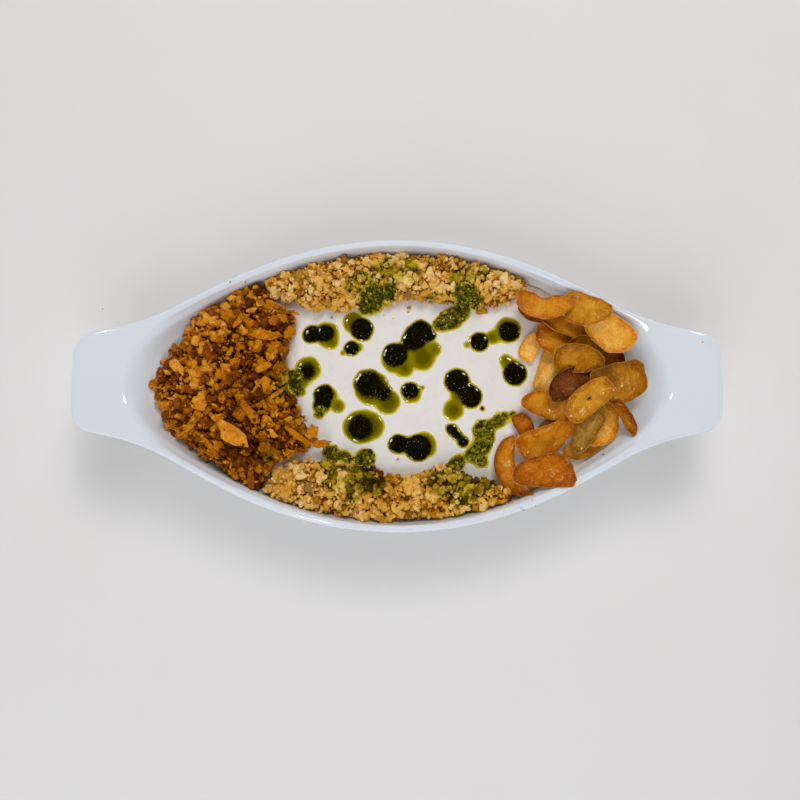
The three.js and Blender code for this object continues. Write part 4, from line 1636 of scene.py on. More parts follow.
@dataclass
class FriedOnionHeap:
    """Crisp fried onion heaped at one end: crumbs, shreds and a few large flakes."""

    strewing: StrewingTree
    shapes: CrumbShapes
    # Where mint oil has run into the heap.
    oil_stains: tuple[Disc, ...] = (
        (-47, 2, 6), (-50, -3, 5), (-54.7, -31.7, 3.4), (-39, -16, 5), (-46, 10, 4),
    )
    # Where the heap is painted darker, as shade on its middle and front.
    painted_shade: tuple[Disc, ...] = ((-66, -4, 17), (-64, -27, 15))
    # Large flakes as x, y, length, width and yaw in degrees, with a tone from 0 dark to 1 pale.
    flakes: tuple[tuple[float, float, float, float, float, float], ...] = (
        (-58, 21, 16, 6.2, -3, 0.62), (-96, 7, 11, 5.6, -45, 0.95), (-102, 8, 11, 2.5, 55, 0.6),
        (-59, -2, 13, 6.2, 50, 0.7), (-52, -4, 12, 2.6, 33, 0.8), (-70, -22, 19, 6.8, -37, 0.85),
        (-91, -20, 13, 3.7, 33, 0.7), (-81, -27, 17, 3, -52, 0.5), (-85, -9, 9, 6.2, -15, 0.8),
        (-63, -13, 15, 3.8, -55, 0.5), (-87, 0, 6, 4.3, -20, 0.9), (-43, -23, 16, 3.8, -30, 0.6),
        (-71, 39, 12, 5, -10, 0.6), (-46, 32, 8, 1.9, -12, 0.65), (-69, 27, 8, 3.7, 60, 0.55),
        (-58, 7, 9, 3.7, 30, 0.7), (-63, -40, 14, 3.4, 88, 0.2), (-37, -21, 8, 4.5, 60, 0.75),
        (-33, -26, 9, 3.4, 10, 0.6), (-42, -28, 8, 4, -20, 0.6),
    )
    flake_thickness: float = 1.3
    flake_lift: float = 2.3

    def dress(self, piece: Piece) -> Piece:
        """Paints where mint oil has soaked in and puts the piece on the body."""
        paint(piece.data, "mint", np.minimum(faded(points_of(piece.data), self.oil_stains), 1))
        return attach(piece, BODY)

    def big_flakes(self, heap: Piece, finish: Material) -> Piece:
        """Lays the large flakes on the heap.

        Args:
            heap: What they lie on.
            finish: Their material.

        Returns:
            The flakes as one piece.
        """
        tree = tree_of(heap)
        solids: list[Solid] = []
        for number, (x, y, length, width, yaw, _) in enumerate(self.flakes):
            flake, faces = chip_points(200 + number, length, width, self.flake_thickness, 0.04, 48)
            height, normal = ground_under(tree, x, y, 30.0)
            lean = Vector((normal.x, normal.y, max(normal.z, 0.5))).normalized()
            turn = Vector((0, 0, 1)).rotation_difference(lean).to_matrix()
            cosine, sine = math.cos(math.radians(yaw)), math.sin(math.radians(yaw))
            turn = np.array(turn) @ np.array([(cosine, -sine, 0), (sine, cosine, 0), (0, 0, 1)])
            solids.append((flake @ turn.T + (x, y, height + self.flake_lift), faces))
        piece = new_object("onion_flakes", *joined(solids))
        tones = [0.8 * flake[-1] - 0.02 for flake in self.flakes]
        paint(piece.data, "tone", np.repeat(tones, [len(points) for points, _ in solids]))
        piece.data.materials.append(finish)
        return self.dress(piece)

    def build(self) -> list[Piece]:
        """Makes the heap's pieces.

        Returns:
            The pieces.
        """
        finish = FriedOnion().material()
        # The core's darker colours are painted shade in the gaps between the crumbs.
        shaded_core_finish = FriedOnion("fried onion shaded core", "#361200", "#5c2800", "#773b00", "#8c4c00").material()
        core = Heap("fried_onions", "onion_core", "onions", 1.4, 1.4, 4.0, 2.2, 71).core(shaded_core_finish)
        carrier = smooth_carrier("fried_onions", "onion_carrier", 2.0, 2)
        lumps = self.shapes.clusters("onion_lump", 8, 2, 16)
        bits = self.shapes.clusters("onion_bit", 8, 1, 9)
        chips = self.shapes.chips("onion_chip", 12, 4.4, 2.8, 0.95)
        shreds = self.shapes.chips("onion_shred", 8, 6.0, 1.7, 0.9)
        crumbs = self.shapes.nuggets("onion_crumb", 6, 0, 2, 0.2)
        # Each layer's name, shapes, sizes, seed, darkest tone and palest tone.
        layers = [
            ("onion_lumps", lumps, StrewingSizes(3.3, 3.2, 7.4, -1.2, 1.7), 3, 0.05, 0.8),
            ("onion_bits", bits, StrewingSizes(2.1, 1.5, 3.8, -1.2, 1.9), 4, 0.05, 0.9),
            ("onion_chips", chips, StrewingSizes(4.6, 0.6, 1.6, 0.4, 2.4, 1.1), 6, 0.1, 0.85),
            ("onion_shreds", shreds, StrewingSizes(6.0, 0.7, 1.3, 0.4, 2.6, 1.1), 9, 0.2, 0.9),
            ("onion_crumbs", crumbs, StrewingSizes(1.35, 0.6, 1.8, -1.2, 1.4), 5, 0.0, 0.8),
        ]
        loose = []
        for name, shapes, sizes, seed, low, high in layers:
            piece = self.strewing.strew(name, shapes, sizes, seed, carrier, finish)
            retone(piece, low, high, self.painted_shade)
            loose.append(piece)
        flakes = self.big_flakes(carrier, finish)
        bpy.data.objects.remove(carrier)
        return [core, flakes, *map(self.dress, loose)]


@dataclass
class WalnutBank:
    """A bank of crushed walnut along one side of the dish.

    Attributes:
        strewing: Strews its crumbs.
        shapes: Holds their shapes.
        node: The CAD node.
        name: First word of its pieces' names.
        seed: Picks its unevenness.
        stains: Where thin yellow-green oil has run over it.
        mush: Where thick leaf mush lies on it.
        painted_shade: Where the nuts are painted darker, as shade.
    """

    strewing: StrewingTree
    shapes: CrumbShapes
    node: str
    name: str
    seed: int
    stains: tuple[Disc, ...]
    mush: tuple[Disc, ...]
    painted_shade: tuple[Disc, ...] = ()

    @staticmethod
    def spread(points: Array, discs: Sequence[Disc], softness: float) -> Array:
        """How much each place is covered by discs, from 0 to 1.

        Args:
            points: Places in millimetres, one row each.
            discs: The discs.
            softness: Half the width of their soft edge.

        Returns:
            One value for each place.
        """
        total = np.zeros(len(points))
        for x, y, radius in discs:
            distance = np.hypot(points[:, 0] - x, points[:, 1] - y)
            total = np.maximum(total, smoothstep(-distance, -radius - softness, -radius + softness))
        return total

    def dress(self, piece: Piece) -> Piece:
        """Paints the oil stains and puts the piece on the body.

        Args:
            piece: The piece.

        Returns:
            The same piece.
        """
        points = points_of(piece.data)
        paint(piece.data, "mint", self.spread(points, self.stains, 3.6))
        paint(piece.data, "soak", self.spread(points, self.mush, 2.0))
        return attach(piece, BODY)

    def build(self, finish: Material, shaded_core_finish: Material) -> list[Piece]:
        """Makes the bank.

        Args:
            finish: Material of the crumbs.
            shaded_core_finish: Material of the core under them, in darker colours as painted shade.

        Returns:
            Its pieces.
        """
        heap = Heap(self.node, f"{self.name}_core", "walnuts", 0.8, 0.6, 2.4, 0.7, self.seed, 0.55)
        core = heap.core(shaded_core_finish)
        carrier = smooth_carrier(self.node, f"{self.name}_carrier", 0.6, cell=0.7)
        big = self.shapes.nuggets(f"{self.name}_piece", 9, 2, 7, 0.2)
        coarse = self.shapes.clusters(f"{self.name}_cluster", 8, 2, 20)
        middle = self.shapes.nuggets(f"{self.name}_bit", 8, 1, 5, 0.2)
        small = self.shapes.nuggets(f"{self.name}_crumb", 6, 0, 2, 0.15)
        # Tones differ at random within each layer; the small bits and crumbs in the gaps get darker ones, as
        # painted shade between the larger pieces.
        # Each layer's name, shapes, sizes, step of the seed, darkest tone and palest tone.
        layers = [
            ("pieces", big, StrewingSizes(4.6, 3.2, 7.0, -1.0, 1.1), 0, 0.42, 1.0),
            ("clusters", coarse, StrewingSizes(4.0, 3.2, 6.4, -1.0, 1.0), 3, 0.26, 0.95),
            ("bits", middle, StrewingSizes(1.8, 1.6, 3.6, -0.9, 1.4), 1, 0.12, 0.87),
            ("crumbs", small, StrewingSizes(1.05, 0.8, 1.9, -0.8, 1.0), 2, 0.05, 0.62),
        ]
        pieces = [self.dress(core)]
        for kind, shapes, sizes, step, low, high in layers:
            name = f"{self.name}_{kind}"
            piece = self.strewing.strew(name, shapes, sizes, self.seed + step, carrier, finish, False)
            retone(piece, low, high, self.painted_shade)
            pieces.append(self.dress(piece))
        bpy.data.objects.remove(carrier)
        return pieces


# ---- Mint oil ----


@dataclass(frozen=True)
class Drop:
    """One run of mint oil: discs of leaf mush, of clear oil and of thick leaf paste.

    A draped drop lies over the toppings too, and in a soft one the leaves thin out gradually into the oil.
    """

    mush: tuple[Disc, ...] = ()
    oil: tuple[Disc, ...] = ()
    paste: tuple[Disc, ...] = ()
    draped: bool = False
    soft: bool = False

    def discs(self) -> tuple[Disc, ...]:
        """All discs of the drop."""
        return self.mush + self.oil + self.paste


@dataclass
class MintDrops:
    """Drops of mint oil on the sauce, each a low dome with a dark middle and an olive edge."""

    sauce: SaucePool
    toppings: BVHTree
    strewing: StrewingTree
    shapes: CrumbShapes
    pitch: float = 0.38
    # How far oil reaches beyond the leaf mush.
    mush_margin: float = 0.35
    paste_raggedness: float = 2.4
    # Over how many millimetres discs flow together.
    softness: float = 1.1
    drops: tuple[Drop, ...] = (
        Drop(((-38.2, 23.2, 4.3), (-32, 23.9, 4.4)), ((-31.6, 23.4, 5.9), (-29.6, 19.8, 3.3))),
        Drop(((-15.8, 25.5, 5.5),), ((-19.3, 28.4, 5.3),)),
        Drop(((-20.3, 16.9, 3.7),), ((-24.1, 15, 1.8), (-17.5, 17.5, 2.6))),
        Drop(
            ((-0.9, 13.9, 5.9), (7.5, 21.1, 5.7), (10.7, 24.7, 5.3), (14.7, 22.5, 3.1)),
            ((-0.5, 12.5, 7.1), (3.5, 7.6, 4), (11.5, 12.5, 5.7), (16.5, 16.6, 3.5), (9, 18, 6)),
        ),
        Drop(
            (), ((20.5, 28.4, 4.4), (25, 30, 5)),
            ((18.4, 27.6, 3), (22.4, 29.3, 4.4), (26.8, 31.6, 4.8), (29.6, 35, 4)), True,
        ),
        Drop(((36.7, 19.9, 4.8), (50, 24.5, 5.2)), ((31.2, 18.4, 1.8), (42.4, 22, 3.5), (49.6, 25.2, 6.3))),
        Drop(((52.5, 5.7, 5.7),), ((48.5, 11.6, 3.1), (51.5, 8, 4.5))),
        Drop(((-12.5, 0.9, 7), (-5.8, -3.2, 4.4)), ((-11.2, -0.9, 8.2), (-4, -7.2, 5.7)), soft=True),
        Drop(((5.7, -2.2, 4.3), (11.3, -0.7, 0.7)), ((6.6, -3.2, 4.9),)),
        Drop(((-16.1, -18.5, 6.6),), ((-16.4, -18.3, 7.9), (-12, -17.9, 6.6)), soft=True),
        Drop(
            ((-32.4, -3.6, 4.6), (-33.3, -8.5, 4.2)), ((-31.6, -4.5, 5.3), (-26.2, -9, 3.5)),
            ((-34.2, -11.6, 3.1),),
        ),
        Drop(
            ((-40.3, 6.4, 4.6),), ((-39.7, 7.6, 6), (-44, 2, 5)),
            ((-43.9, -1.8, 3.5), (-45.5, 4.5, 3.6)), True, True,
        ),
        Drop(((0.5, -25.9, 4.5), (9.4, -27.4, 6.3)), ((11.9, -26.3, 6.2),)),
        Drop(((26.5, 2.3, 5.9), (32.7, -4.8, 5.5)), ((25, -10.8, 5.1), (29, -3, 6))),
        Drop(((37.9, -10, 1.2),)),
        Drop(((23.9, -19, 2.6), (26.5, -21.9, 2.2), (29.3, -24.8, 2.6))),
        Drop(
            (), ((40, -20, 4.2),), (
                (51.5, -12.2, 2.2), (47.8, -13.3, 2.6), (44.8, -15.6, 3.1), (42.2, -17.1, 2.6),
                (37.4, -18.9, 4.4), (39.6, -22.6, 4), (37.4, -27, 4.4), (33.6, -30.7, 4.4), (27, -33.6, 4),
                (37.3, -33.6, 3.5),
            ), True,
        ),
        Drop((), (), ((-29.2, -29.6, 4.4), (-22.2, -31.8, 3.3), (-14.1, -31.4, 4.8)), True),
        Drop((), (), ((-10.7, 39.3, 6.2), (-13.9, 35.2, 4), (-4.1, 41.6, 4)), True),
        Drop((), (), ((29.6, 40.2, 5.7), (35.4, 37.4, 3.5)), True),
    )

    def union(self, plane: Array, discs: Sequence[Disc], seed: int, raggedness: float = 1.0) -> Array:
        """Distance inside a smooth union of discs with an uneven edge.

        Args:
            plane: Rows of x and y.
            discs: The discs.
            seed: Picks the unevenness.
            raggedness: How uneven the edge is; 1 is the edge of clear oil.

        Returns:
            The distances, negative outside and very negative if there are no discs.
        """
        if not discs:
            return np.full(len(plane), -50.0)
        total = np.zeros(len(plane))
        for x, y, radius in discs:
            distance = radius - np.hypot(plane[:, 0] - x, plane[:, 1] - y)
            total += np.exp(np.clip(distance, -60, 60) / self.softness)
        uneven = 0.34 * noise(plane, 3.4, seed) + 0.07 * noise(plane, 1.1, seed + 5)
        return self.softness * np.log(total + 1e-30) + raggedness * uneven - 0.15

    def ground(self, plane: Array, draped: bool) -> Array:
        """Height of what the oil lies on.

        Args:
            plane: Rows of x and y.
            draped: Whether it lies over the toppings too.

        Returns:
            The heights.
        """
        level = self.sauce.level(plane)
        if not draped:
            return level
        heights = [ground_under(self.toppings, x, y, 0.0)[0] for x, y in plane]
        return np.maximum(level, np.array(heights) - 0.2)

    def drop_solid(self, drop: Drop, seed: int) -> tuple[Solid, list[Array]]:
        """Shape of one drop.

        Args:
            drop: The drop's discs.
            seed: Picks its unevenness.

        Returns:
            The solid, and the painted amounts of oil, leaves, paste and loose bits.
        """
        discs = np.array(drop.discs())
        reach = discs[:, 2].max() + 2
        low = tuple(discs[:, :2].min(axis=0) - reach)
        high = tuple(discs[:, :2].max(axis=0) + reach)
        margin = self.mush_margin if drop.mush else 0.0

        def paste_depth(plane: Array) -> Array:
            """Distance inside the thick leaf paste."""
            return self.union(plane, drop.paste, seed + 2, self.paste_raggedness)

        def inside(plane: Array) -> Array:
            """Distance inside the drop."""
            oil = self.union(plane, drop.oil, seed)
            mush = self.union(plane, drop.mush, seed + 1) + margin
            return np.maximum(np.maximum(oil, mush), paste_depth(plane))

        def top(plane: Array) -> Array:
            """Height of the dome, thicker and rough where there are leaves.

            Args:
                plane: Rows of x and y.

            Returns:
                The heights.
            """
            depth = np.maximum(inside(plane), 0)
            paste = smoothstep(paste_depth(plane), -0.6, 1.2)
            height = 0.03 + 0.8 * (1 - np.exp(-depth / 1.6))
            height += paste * (0.4 + 0.7 * rough(plane, 1.9, 3, seed + 9)) * np.minimum(depth, 1)
            return self.ground(plane, drop.draped) + height

        def bottom(plane: Array) -> Array:
            """Height of the underside, a little inside what carries it."""
            return self.ground(plane, drop.draped) - 0.4

        points, faces = field_solid(low, high, self.pitch, inside, top, bottom)
        plane = points[:, :2]
        depth = np.maximum(inside(plane), 0)
        softness = 3.4 if drop.soft else 1.5
        mush = smoothstep(self.union(plane, drop.mush, seed + 1), -0.5 * softness, softness)
        thick = paste_depth(plane)
        paste = smoothstep(thick, -0.8, 0.6)
        bits = smoothstep(thick, 0.4, 1.4)
        return (points, faces), [smoothstep(depth, 0.0, 4.5), mush, paste, bits]

    def build(self) -> list[Piece]:
        """Makes and dresses all drops as one piece, and the leaf bits on them.

        Returns:
            The drops and the bits.
        """
        made = [self.drop_solid(drop, 50 + 11 * number) for number, drop in enumerate(self.drops)]
        piece = new_object("mint_oil", *joined([solid for solid, _ in made]))
        flatten_sides(piece.data)
        upper = np.concatenate([np.arange(len(points)) < len(points) // 2 for (points, _), _ in made])
        for column, name in enumerate(("oil", "leaves", "paste", "cover")):
            amount = np.concatenate([amounts[column] for _, amounts in made])
            paint(piece.data, name, amount * upper if name == "cover" else amount)
        coarse = self.shapes.nuggets("mint_leaf", 8, 1, 3, 0.3)
        fine = self.shapes.nuggets("mint_dust", 6, 0, 2, 0.3)
        leaf = MintLeaf().material()
        leaf_sizes = StrewingSizes(1.6, 0.9, 2.6, -0.3, 0.4)
        dust_sizes = StrewingSizes(0.8, 0.4, 1.2, -0.1, 0.3)
        leaves = [
            self.strewing.strew("mint_leaves", coarse, leaf_sizes, 7, piece, leaf),
            self.strewing.strew("mint_dust", fine, dust_sizes, 8, piece, leaf),
        ]
        piece.data.materials.append(MintOil().material())
        return [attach(each, BODY) for each in (piece, *leaves)]


# ---- Garlic ----


class Doneness(Enum):
    """How far a slice of garlic has been fried."""

    PALE = FriedGarlic("pale", "#fcc664", "#f4b03a", "#e29818", "#f8d494")
    LIGHT = FriedGarlic("light", "#f2b248", "#e49a1a", "#ca7406", "#f6c878")
    GOLDEN = FriedGarlic("golden", "#d49626", "#be7a0a", "#9a5800", "#dea038")
    AMBER = FriedGarlic("amber", "#d8901c", "#c87404", "#a25200", "#e4a23c")
    ORANGE = FriedGarlic("orange", "#c66e06", "#ac5600", "#843a00", "#d89434")
    TOASTED = FriedGarlic("painted_shade", "#c28414", "#aa6800", "#824800", "#d89834")
    BROWN = FriedGarlic("brown", "#b46a0a", "#9a4e00", "#6e2e00", "#d09030")
    OLIVE = FriedGarlic("olive", "#b08638", "#9c6c16", "#805004", "#d0a454")
    DARK = FriedGarlic("dark", "#7e4014", "#602a06", "#421900", "#a87040")


@dataclass(frozen=True)
class Slice:
    """What sets one slice apart from the others.

    Attributes:
        yaw: Its heading in degrees.
        bow: How far its middle line is bent sideways.
        done: How far it has been fried.
        egg: How much narrower its front end is than its back end.
        fullness: Its outline, from 1 for an oval towards 0 for a rectangle.
        ruffle: How wavy its rim is.
        wrinkle: How deeply its middle is creased.
        lobes: Where its rim bulges or is notched, and turns up: direction in degrees from its heading, share
            outwards, height and width in degrees.
        stain: A browned area: its place along and across from -1 to 1, its size and its strength.
        pit: A dark germ hole, as its place and size.
    """

    yaw: float
    bow: float
    done: Doneness
    egg: float = 0.16
    fullness: float = 0.8
    ruffle: float = 0.5
    wrinkle: float = 0.2
    lobes: tuple[tuple[float, float, float, float], ...] = ()
    stain: tuple[float, float, float, float] | None = None
    pit: tuple[float, float, float] | None = None


def sheet_terms(u: Array, v: Array) -> Array:
    """Terms of a curved sheet of the second degree over places u and v, one row for each."""
    return np.stack([np.ones_like(u), u, v, u * u, u * v, v * v], axis=1)


@dataclass
class GarlicPile:
    """The pile of fried garlic slices, one piece for each."""

    thickness: float = 0.95
    # How much larger a slice is than its CAD node.
    growth: float = 1.09
    segments: int = 88
    # Unevenness of every outline: how tightly its waves are packed, and how high they are.
    ripples: tuple[tuple[float, float], ...] = ((1.3, 0.06), (3.1, 0.04), (8.0, 0.018))
    slices: tuple[Slice, ...] = (
        Slice(58, 0.5, Doneness.PALE, ruffle=0.3),
        Slice(76, -0.6, Doneness.PALE, ruffle=0.4),
        Slice(60, 0.7, Doneness.PALE, ruffle=0.4, stain=(-0.5, 0.6, 0.5, 0.25)),
        Slice(-66, 0.6, Doneness.ORANGE, lobes=((180, 0, 1, 50),)),
        Slice(27, -0.9, Doneness.GOLDEN, ruffle=0.8),
        Slice(-14, -0.8, Doneness.ORANGE),
        Slice(34, 0.4, Doneness.OLIVE),
        Slice(66, -1.2, Doneness.LIGHT, ruffle=0.7, lobes=((-80, 0.03, 1.6, 50),)),
        Slice(
            -58, 0.9, Doneness.BROWN, egg=0.3, ruffle=0.4,
            lobes=((90, -0.2, 1.5, 60), (-90, -0.25, 0, 60)),
        ),
        Slice(-22, -0.6, Doneness.AMBER, ruffle=0.6),
        Slice(-42, 0.9, Doneness.BROWN, ruffle=0.8, lobes=((70, 0.04, 2.4, 50), (-90, 0, 1.4, 40))),
        Slice(-16, 0.5, Doneness.AMBER, egg=0.05, ruffle=0.3, wrinkle=0.05, stain=(0.9, -0.3, 0.9, 0.45)),
        Slice(28, 0.5, Doneness.DARK, ruffle=0.4, lobes=((95, 0.1, 0.8, 50), (-90, 0.08, 0.4, 50))),
        Slice(
            -74, -3.1, Doneness.AMBER, egg=0.0, fullness=0.62, ruffle=0.3,
            lobes=((90, 0.45, -0.8, 60), (-90, 0.2, 1.6, 60)), stain=(0.0, -0.9, 0.7, 0.4),
        ),
        Slice(
            -27, 0.8, Doneness.AMBER,
            lobes=((90, 0, 1.8, 60), (-90, 0, 1, 60)), stain=(0.4, -0.8, 0.6, 0.4),
        ),
        Slice(-18, 1.3, Doneness.TOASTED, ruffle=0.6, lobes=((90, 0.03, 1.6, 60),)),
        Slice(
            -5, 0.5, Doneness.TOASTED, ruffle=0.6, wrinkle=0.9,
            lobes=((70, 0.03, 1.2, 50), (210, 0.06, 0, 30)),
        ),
        Slice(
            14, -1.2, Doneness.TOASTED, egg=0.02, ruffle=0.7, wrinkle=0.35,
            lobes=((38, 0.08, 1.8, 28), (150, 0.04, 0.8, 30), (-30, 0.02, 1.8, 40)),
            stain=(-0.55, 0.2, 0.6, 0.7),
        ),
        Slice(62, 0.6, Doneness.OLIVE, egg=-0.3, ruffle=0.5, lobes=((90, 0, 0.7, 60),)),
        Slice(
            31, -0.9, Doneness.AMBER, egg=0.42, ruffle=0.45,
            lobes=((0, 0.05, 0.8, 25), (-150, 0.05, 0.5, 30)),
        ),
        Slice(
            5, 1, Doneness.ORANGE, egg=-0.22,
            lobes=((-40, 0.07, 0.8, 25), (92, -0.3, -0.4, 50), (-100, 0.04, 1, 60)),
            stain=(-0.8, 0.8, 0.5, 0.4),
        ),
        Slice(-36, -0.6, Doneness.LIGHT, egg=-0.05, ruffle=0.6, lobes=((60, 0.02, 1, 50),)),
        Slice(-12, -0.7, Doneness.GOLDEN, egg=0.25, ruffle=0.7, wrinkle=0.5, lobes=((150, 0.05, 1, 40),)),
        Slice(
            -4, -1.2, Doneness.AMBER, egg=0.2,
            lobes=((95, -0.32, -0.4, 22), (0, 0.02, 2.2, 30), (170, 0.05, 0.9, 50)),
        ),
        Slice(
            34, 0.6, Doneness.GOLDEN, egg=0.1, ruffle=0.4,
            lobes=((60, 0.14, 0, 30), (240, 0.12, 0.4, 32)), pit=(0, 0, 0.06),
        ),
    )

    @staticmethod
    def lie(node: str, marks: Slice) -> tuple[Array, Array, Array, Array]:
        """Finds how a CAD slice lies.

        Args:
            node: The CAD node.
            marks: What sets the slice apart.

        Returns:
            Its middle, its axes as rows, half its length and width, and the terms of its curved middle sheet.
        """
        coarse = welded_copy(node, f"coarse_{node}")
        points = points_of(coarse.data)
        bpy.data.objects.remove(coarse)
        middle = points.mean(axis=0)
        up = np.linalg.svd(points - middle, full_matrices=False)[2][2]
        up = up * np.sign(up[2])
        turn = np.array(Vector((0, 0, 1)).rotation_difference(Vector(up)).to_matrix())
        heading = math.radians(marks.yaw)
        along = turn @ (math.cos(heading), math.sin(heading), 0)
        axes = np.stack([along, np.cross(up, along), up])
        local = (points - middle) @ axes.T
        shift = (local[:, 0].max() + local[:, 0].min()) / 2
        middle = middle + shift * along
        half_length = np.ptp(local[:, 0]) / 2
        u = (local[:, 0] - shift) / half_length
        bent = local[:, 1] - marks.bow * (1 - 2 * u**2)
        side = (bent.max() + bent.min()) / 2
        middle = middle + side * axes[1]
        half_width = np.ptp(bent) / 2
        v = (bent - side) / half_width
        fit, *_ = np.linalg.lstsq(sheet_terms(u, v), local[:, 2], rcond=None)
        return middle, axes, np.array([half_length, half_width]), fit

    def slice_points(self, node: str, marks: Slice, seed: int) -> tuple[Array, Faces, dict[str, Array]]:
        """Shape of one slice, in the place of its CAD node.

        Args:
            node: The CAD node.
            marks: What sets the slice apart.
            seed: Picks its unevenness.

        Returns:
            Vertices, faces and the amounts to paint.
        """
        centre, axes, half, fit = self.lie(node, marks)
        direction = np.linspace(0, 2 * math.pi, self.segments, endpoint=False)
        wheel = np.stack([np.cos(direction), np.sin(direction)], axis=1)
        outline = np.sign(wheel) * np.abs(wheel) ** marks.fullness
        outline[:, 1] *= 1 - marks.egg * outline[:, 0]
        for stretch, size in self.ripples:
            outline *= 1 + size * noise(wheel * stretch + seed, 1, seed + round(stretch))[:, None]
        for lobe, out, _, width in marks.lobes:
            outline *= 1 + out * self.near(direction, lobe, width)[:, None]

        def middle(plane: Array, share: Array) -> Array:
            """Height of the slice's middle sheet over its own plane.

            Args:
                plane: Rows of u and v.
                share: How far out each is, from 0 to 1.

            Returns:
                The heights.
            """
            u, v = plane.T
            turn = plane / np.maximum(np.hypot(u, v), 1e-6)[:, None]
            edge = smoothstep(share, 0.4, 1.0)
            height = sheet_terms(u, v) @ fit
            wave = noise(turn * 1.5 + 3 * seed, 1, seed + 2) + 0.5 * noise(turn * 3.2 + seed, 1, seed + 3)
            height += marks.ruffle * 1.5 * wave * edge**1.5 + 0.55 * smoothstep(share, 0.86, 1.0)
            for lobe, _, rise, width in marks.lobes:
                height += rise * self.near(np.arctan2(v, u), lobe, width) * edge**2
            place = plane * half + 10 * seed
            crease = np.abs(noise(place * (0.6, 1.2), 2.6, seed + 5))
            height += marks.wrinkle * 1.2 * (0.4 - crease) * (1 - edge)
            height += 1.3 * noise(place, 6.8, seed + 7) + 0.6 * noise(place, 3.4, seed + 4)
            return height + 0.13 * noise(place, 1.3, seed + 6)

        flat, faces, share = plate_solid(outline, middle, self.thickness, 13, 16)
        u, v = flat[:, 0], flat[:, 1]
        half = self.growth * half
        local = np.stack([half[0] * u, half[1] * v + marks.bow * (1 - 2 * u**2), flat[:, 2]], axis=1)
        pit, stain = np.zeros(len(u)), np.zeros(len(u))
        if marks.pit:
            pit_u, pit_v, size = marks.pit
            distance = np.hypot(u - pit_u, (v - pit_v) * half[1] / half[0]) / size
            pit = smoothstep(-distance, -1.3, -0.7)
            local[:, 2] -= 0.4 * pit
        if marks.stain:
            stain_u, stain_v, size, strength = marks.stain
            stain = strength * np.exp(-(((u - stain_u) ** 2 + (v - stain_v) ** 2) / size**2))
        return local @ axes + centre, faces, {"rim": share**3, "pit": pit, "stain": stain}

    @staticmethod
    def near(direction: Array, lobe: float, width: float) -> Array:
        """How near directions in radians are to a lobe's direction in degrees, from 0 to 1."""
        off = (np.degrees(direction) - lobe + 180) % 360 - 180
        return np.exp(-((off / width) ** 2))

    def rest_on(self, ground: BVHTree, points: Array) -> Array:
        """Lifts the parts of a slice that would dip into what carries it, with its underside just above.

        Args:
            ground: What carries it.
            points: Its vertices, the upper side's first.

        Returns:
            The vertices.
        """
        upper = np.arange(len(points)) < len(points) // 2
        clearance = 0.15 + upper * 0.7 * self.thickness
        heights = [ground_under(ground, x, y, 0.0)[0] for x, y in points[:, :2]]
        points[:, 2] = np.maximum(points[:, 2], np.array(heights) + clearance)
        return points

    def build(self, ground: BVHTree) -> list[Piece]:
        """Makes and dresses every slice.

        Args:
            ground: The dish's wall.

        Returns:
            The slices.
        """
        finishes = {done: done.value.material() for done in Doneness}
        pieces = []
        for number, marks in enumerate(self.slices, start=1):
            node = f"garlic_{number:02d}"
            points, faces, amounts = self.slice_points(node, marks, 300 + 13 * number)
            piece = new_object(f"slice_{number:02d}", self.rest_on(ground, points), faces)
            for name, amount in amounts.items():
                paint(piece.data, name, amount)
            piece.data.materials.append(finishes[marks.done])
            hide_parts(node)
            pieces.append(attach(piece, BODY))
        return pieces


# ---- Stray crumbs ----


@dataclass
class StrayCrumbs:
    """Single crumbs that have dropped away from the heaps.

    Attributes:
        name: Name of the piece.
        slot: Name of its slot, which is not used.
        places: The crumbs as x, y and size.
        sink: How deep they are sunk, as a share of their size.
    """

    name: str
    slot: str
    places: tuple[Disc, ...]
    sink: float = 0.0

    def build(self, ground: BVHTree, finish: Material) -> Piece:
        """Lays each crumb on what is under it.

        Args:
            ground: What the crumbs fall on.
            finish: Their material.

        Returns:
            The crumbs as one piece.
        """
        solids: list[Solid] = []
        tones: list[Array] = []
        for number, (x, y, size) in enumerate(self.places):
            crumb, faces = nugget_points(500 + number, 1, 3, 0.15)
            height, _ = ground_under(ground, x, y, 30.0)
            place = (x, y, height + (0.25 - self.sink) * size)
            solids.append((crumb * size * (1.2, 0.9, 0.7) + place, faces))
            tones.append(np.full(len(crumb), 0.25 + 0.5 * (number % 3) / 2))
        piece = new_object(self.name, *joined(solids))
        paint(piece.data, "tone", np.concatenate(tones))
        for name in ("mint", "soak", "pick"):
            paint(piece.data, name, np.zeros(len(piece.data.vertices)))
        piece.data.materials.append(finish)
        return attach(piece, BODY)


# Brown crumbs on the wall and the rim.
WALL_CRUMBS: tuple[Disc, ...] = (
    (89.9, -30.8, 1.0), (131.5, 17.1, 0.7), (49.8, -51.7, 1.1), (54.4, -54.7, 0.8), (44.6, -50.4, 1.0),
    (53.3, -53.9, 0.7), (-131.2, 34.2, 0.7), (-73.3, 44.7, 1.0), (-60.3, 40.6, 1.2), (-67.0, 45.2, 0.9),
    (47.5, -52.8, 0.6), (58.2, -50.6, 0.6), (60.4, -53.2, 0.5),
)
# Bits of walnut half sunk in the sauce.
SAUCE_CRUMBS: tuple[Disc, ...] = (
    (38.0, 33.6, 4.6), (24.0, 34.0, 3.4), (14.8, 37.4, 2.4), (5.4, 35.4, 1.9), (5.1, 33.6, 1.6),
    (-27.0, 33.2, 2.2), (-29.4, 31.0, 1.2), (0.4, -32.4, 1.5), (-40.5, -14.6, 2.0), (54.4, 24.6, 1.6),
    (-6.0, 32.0, 0.8), (-1.8, 30.4, 0.7),
)


# ---- Studio ----


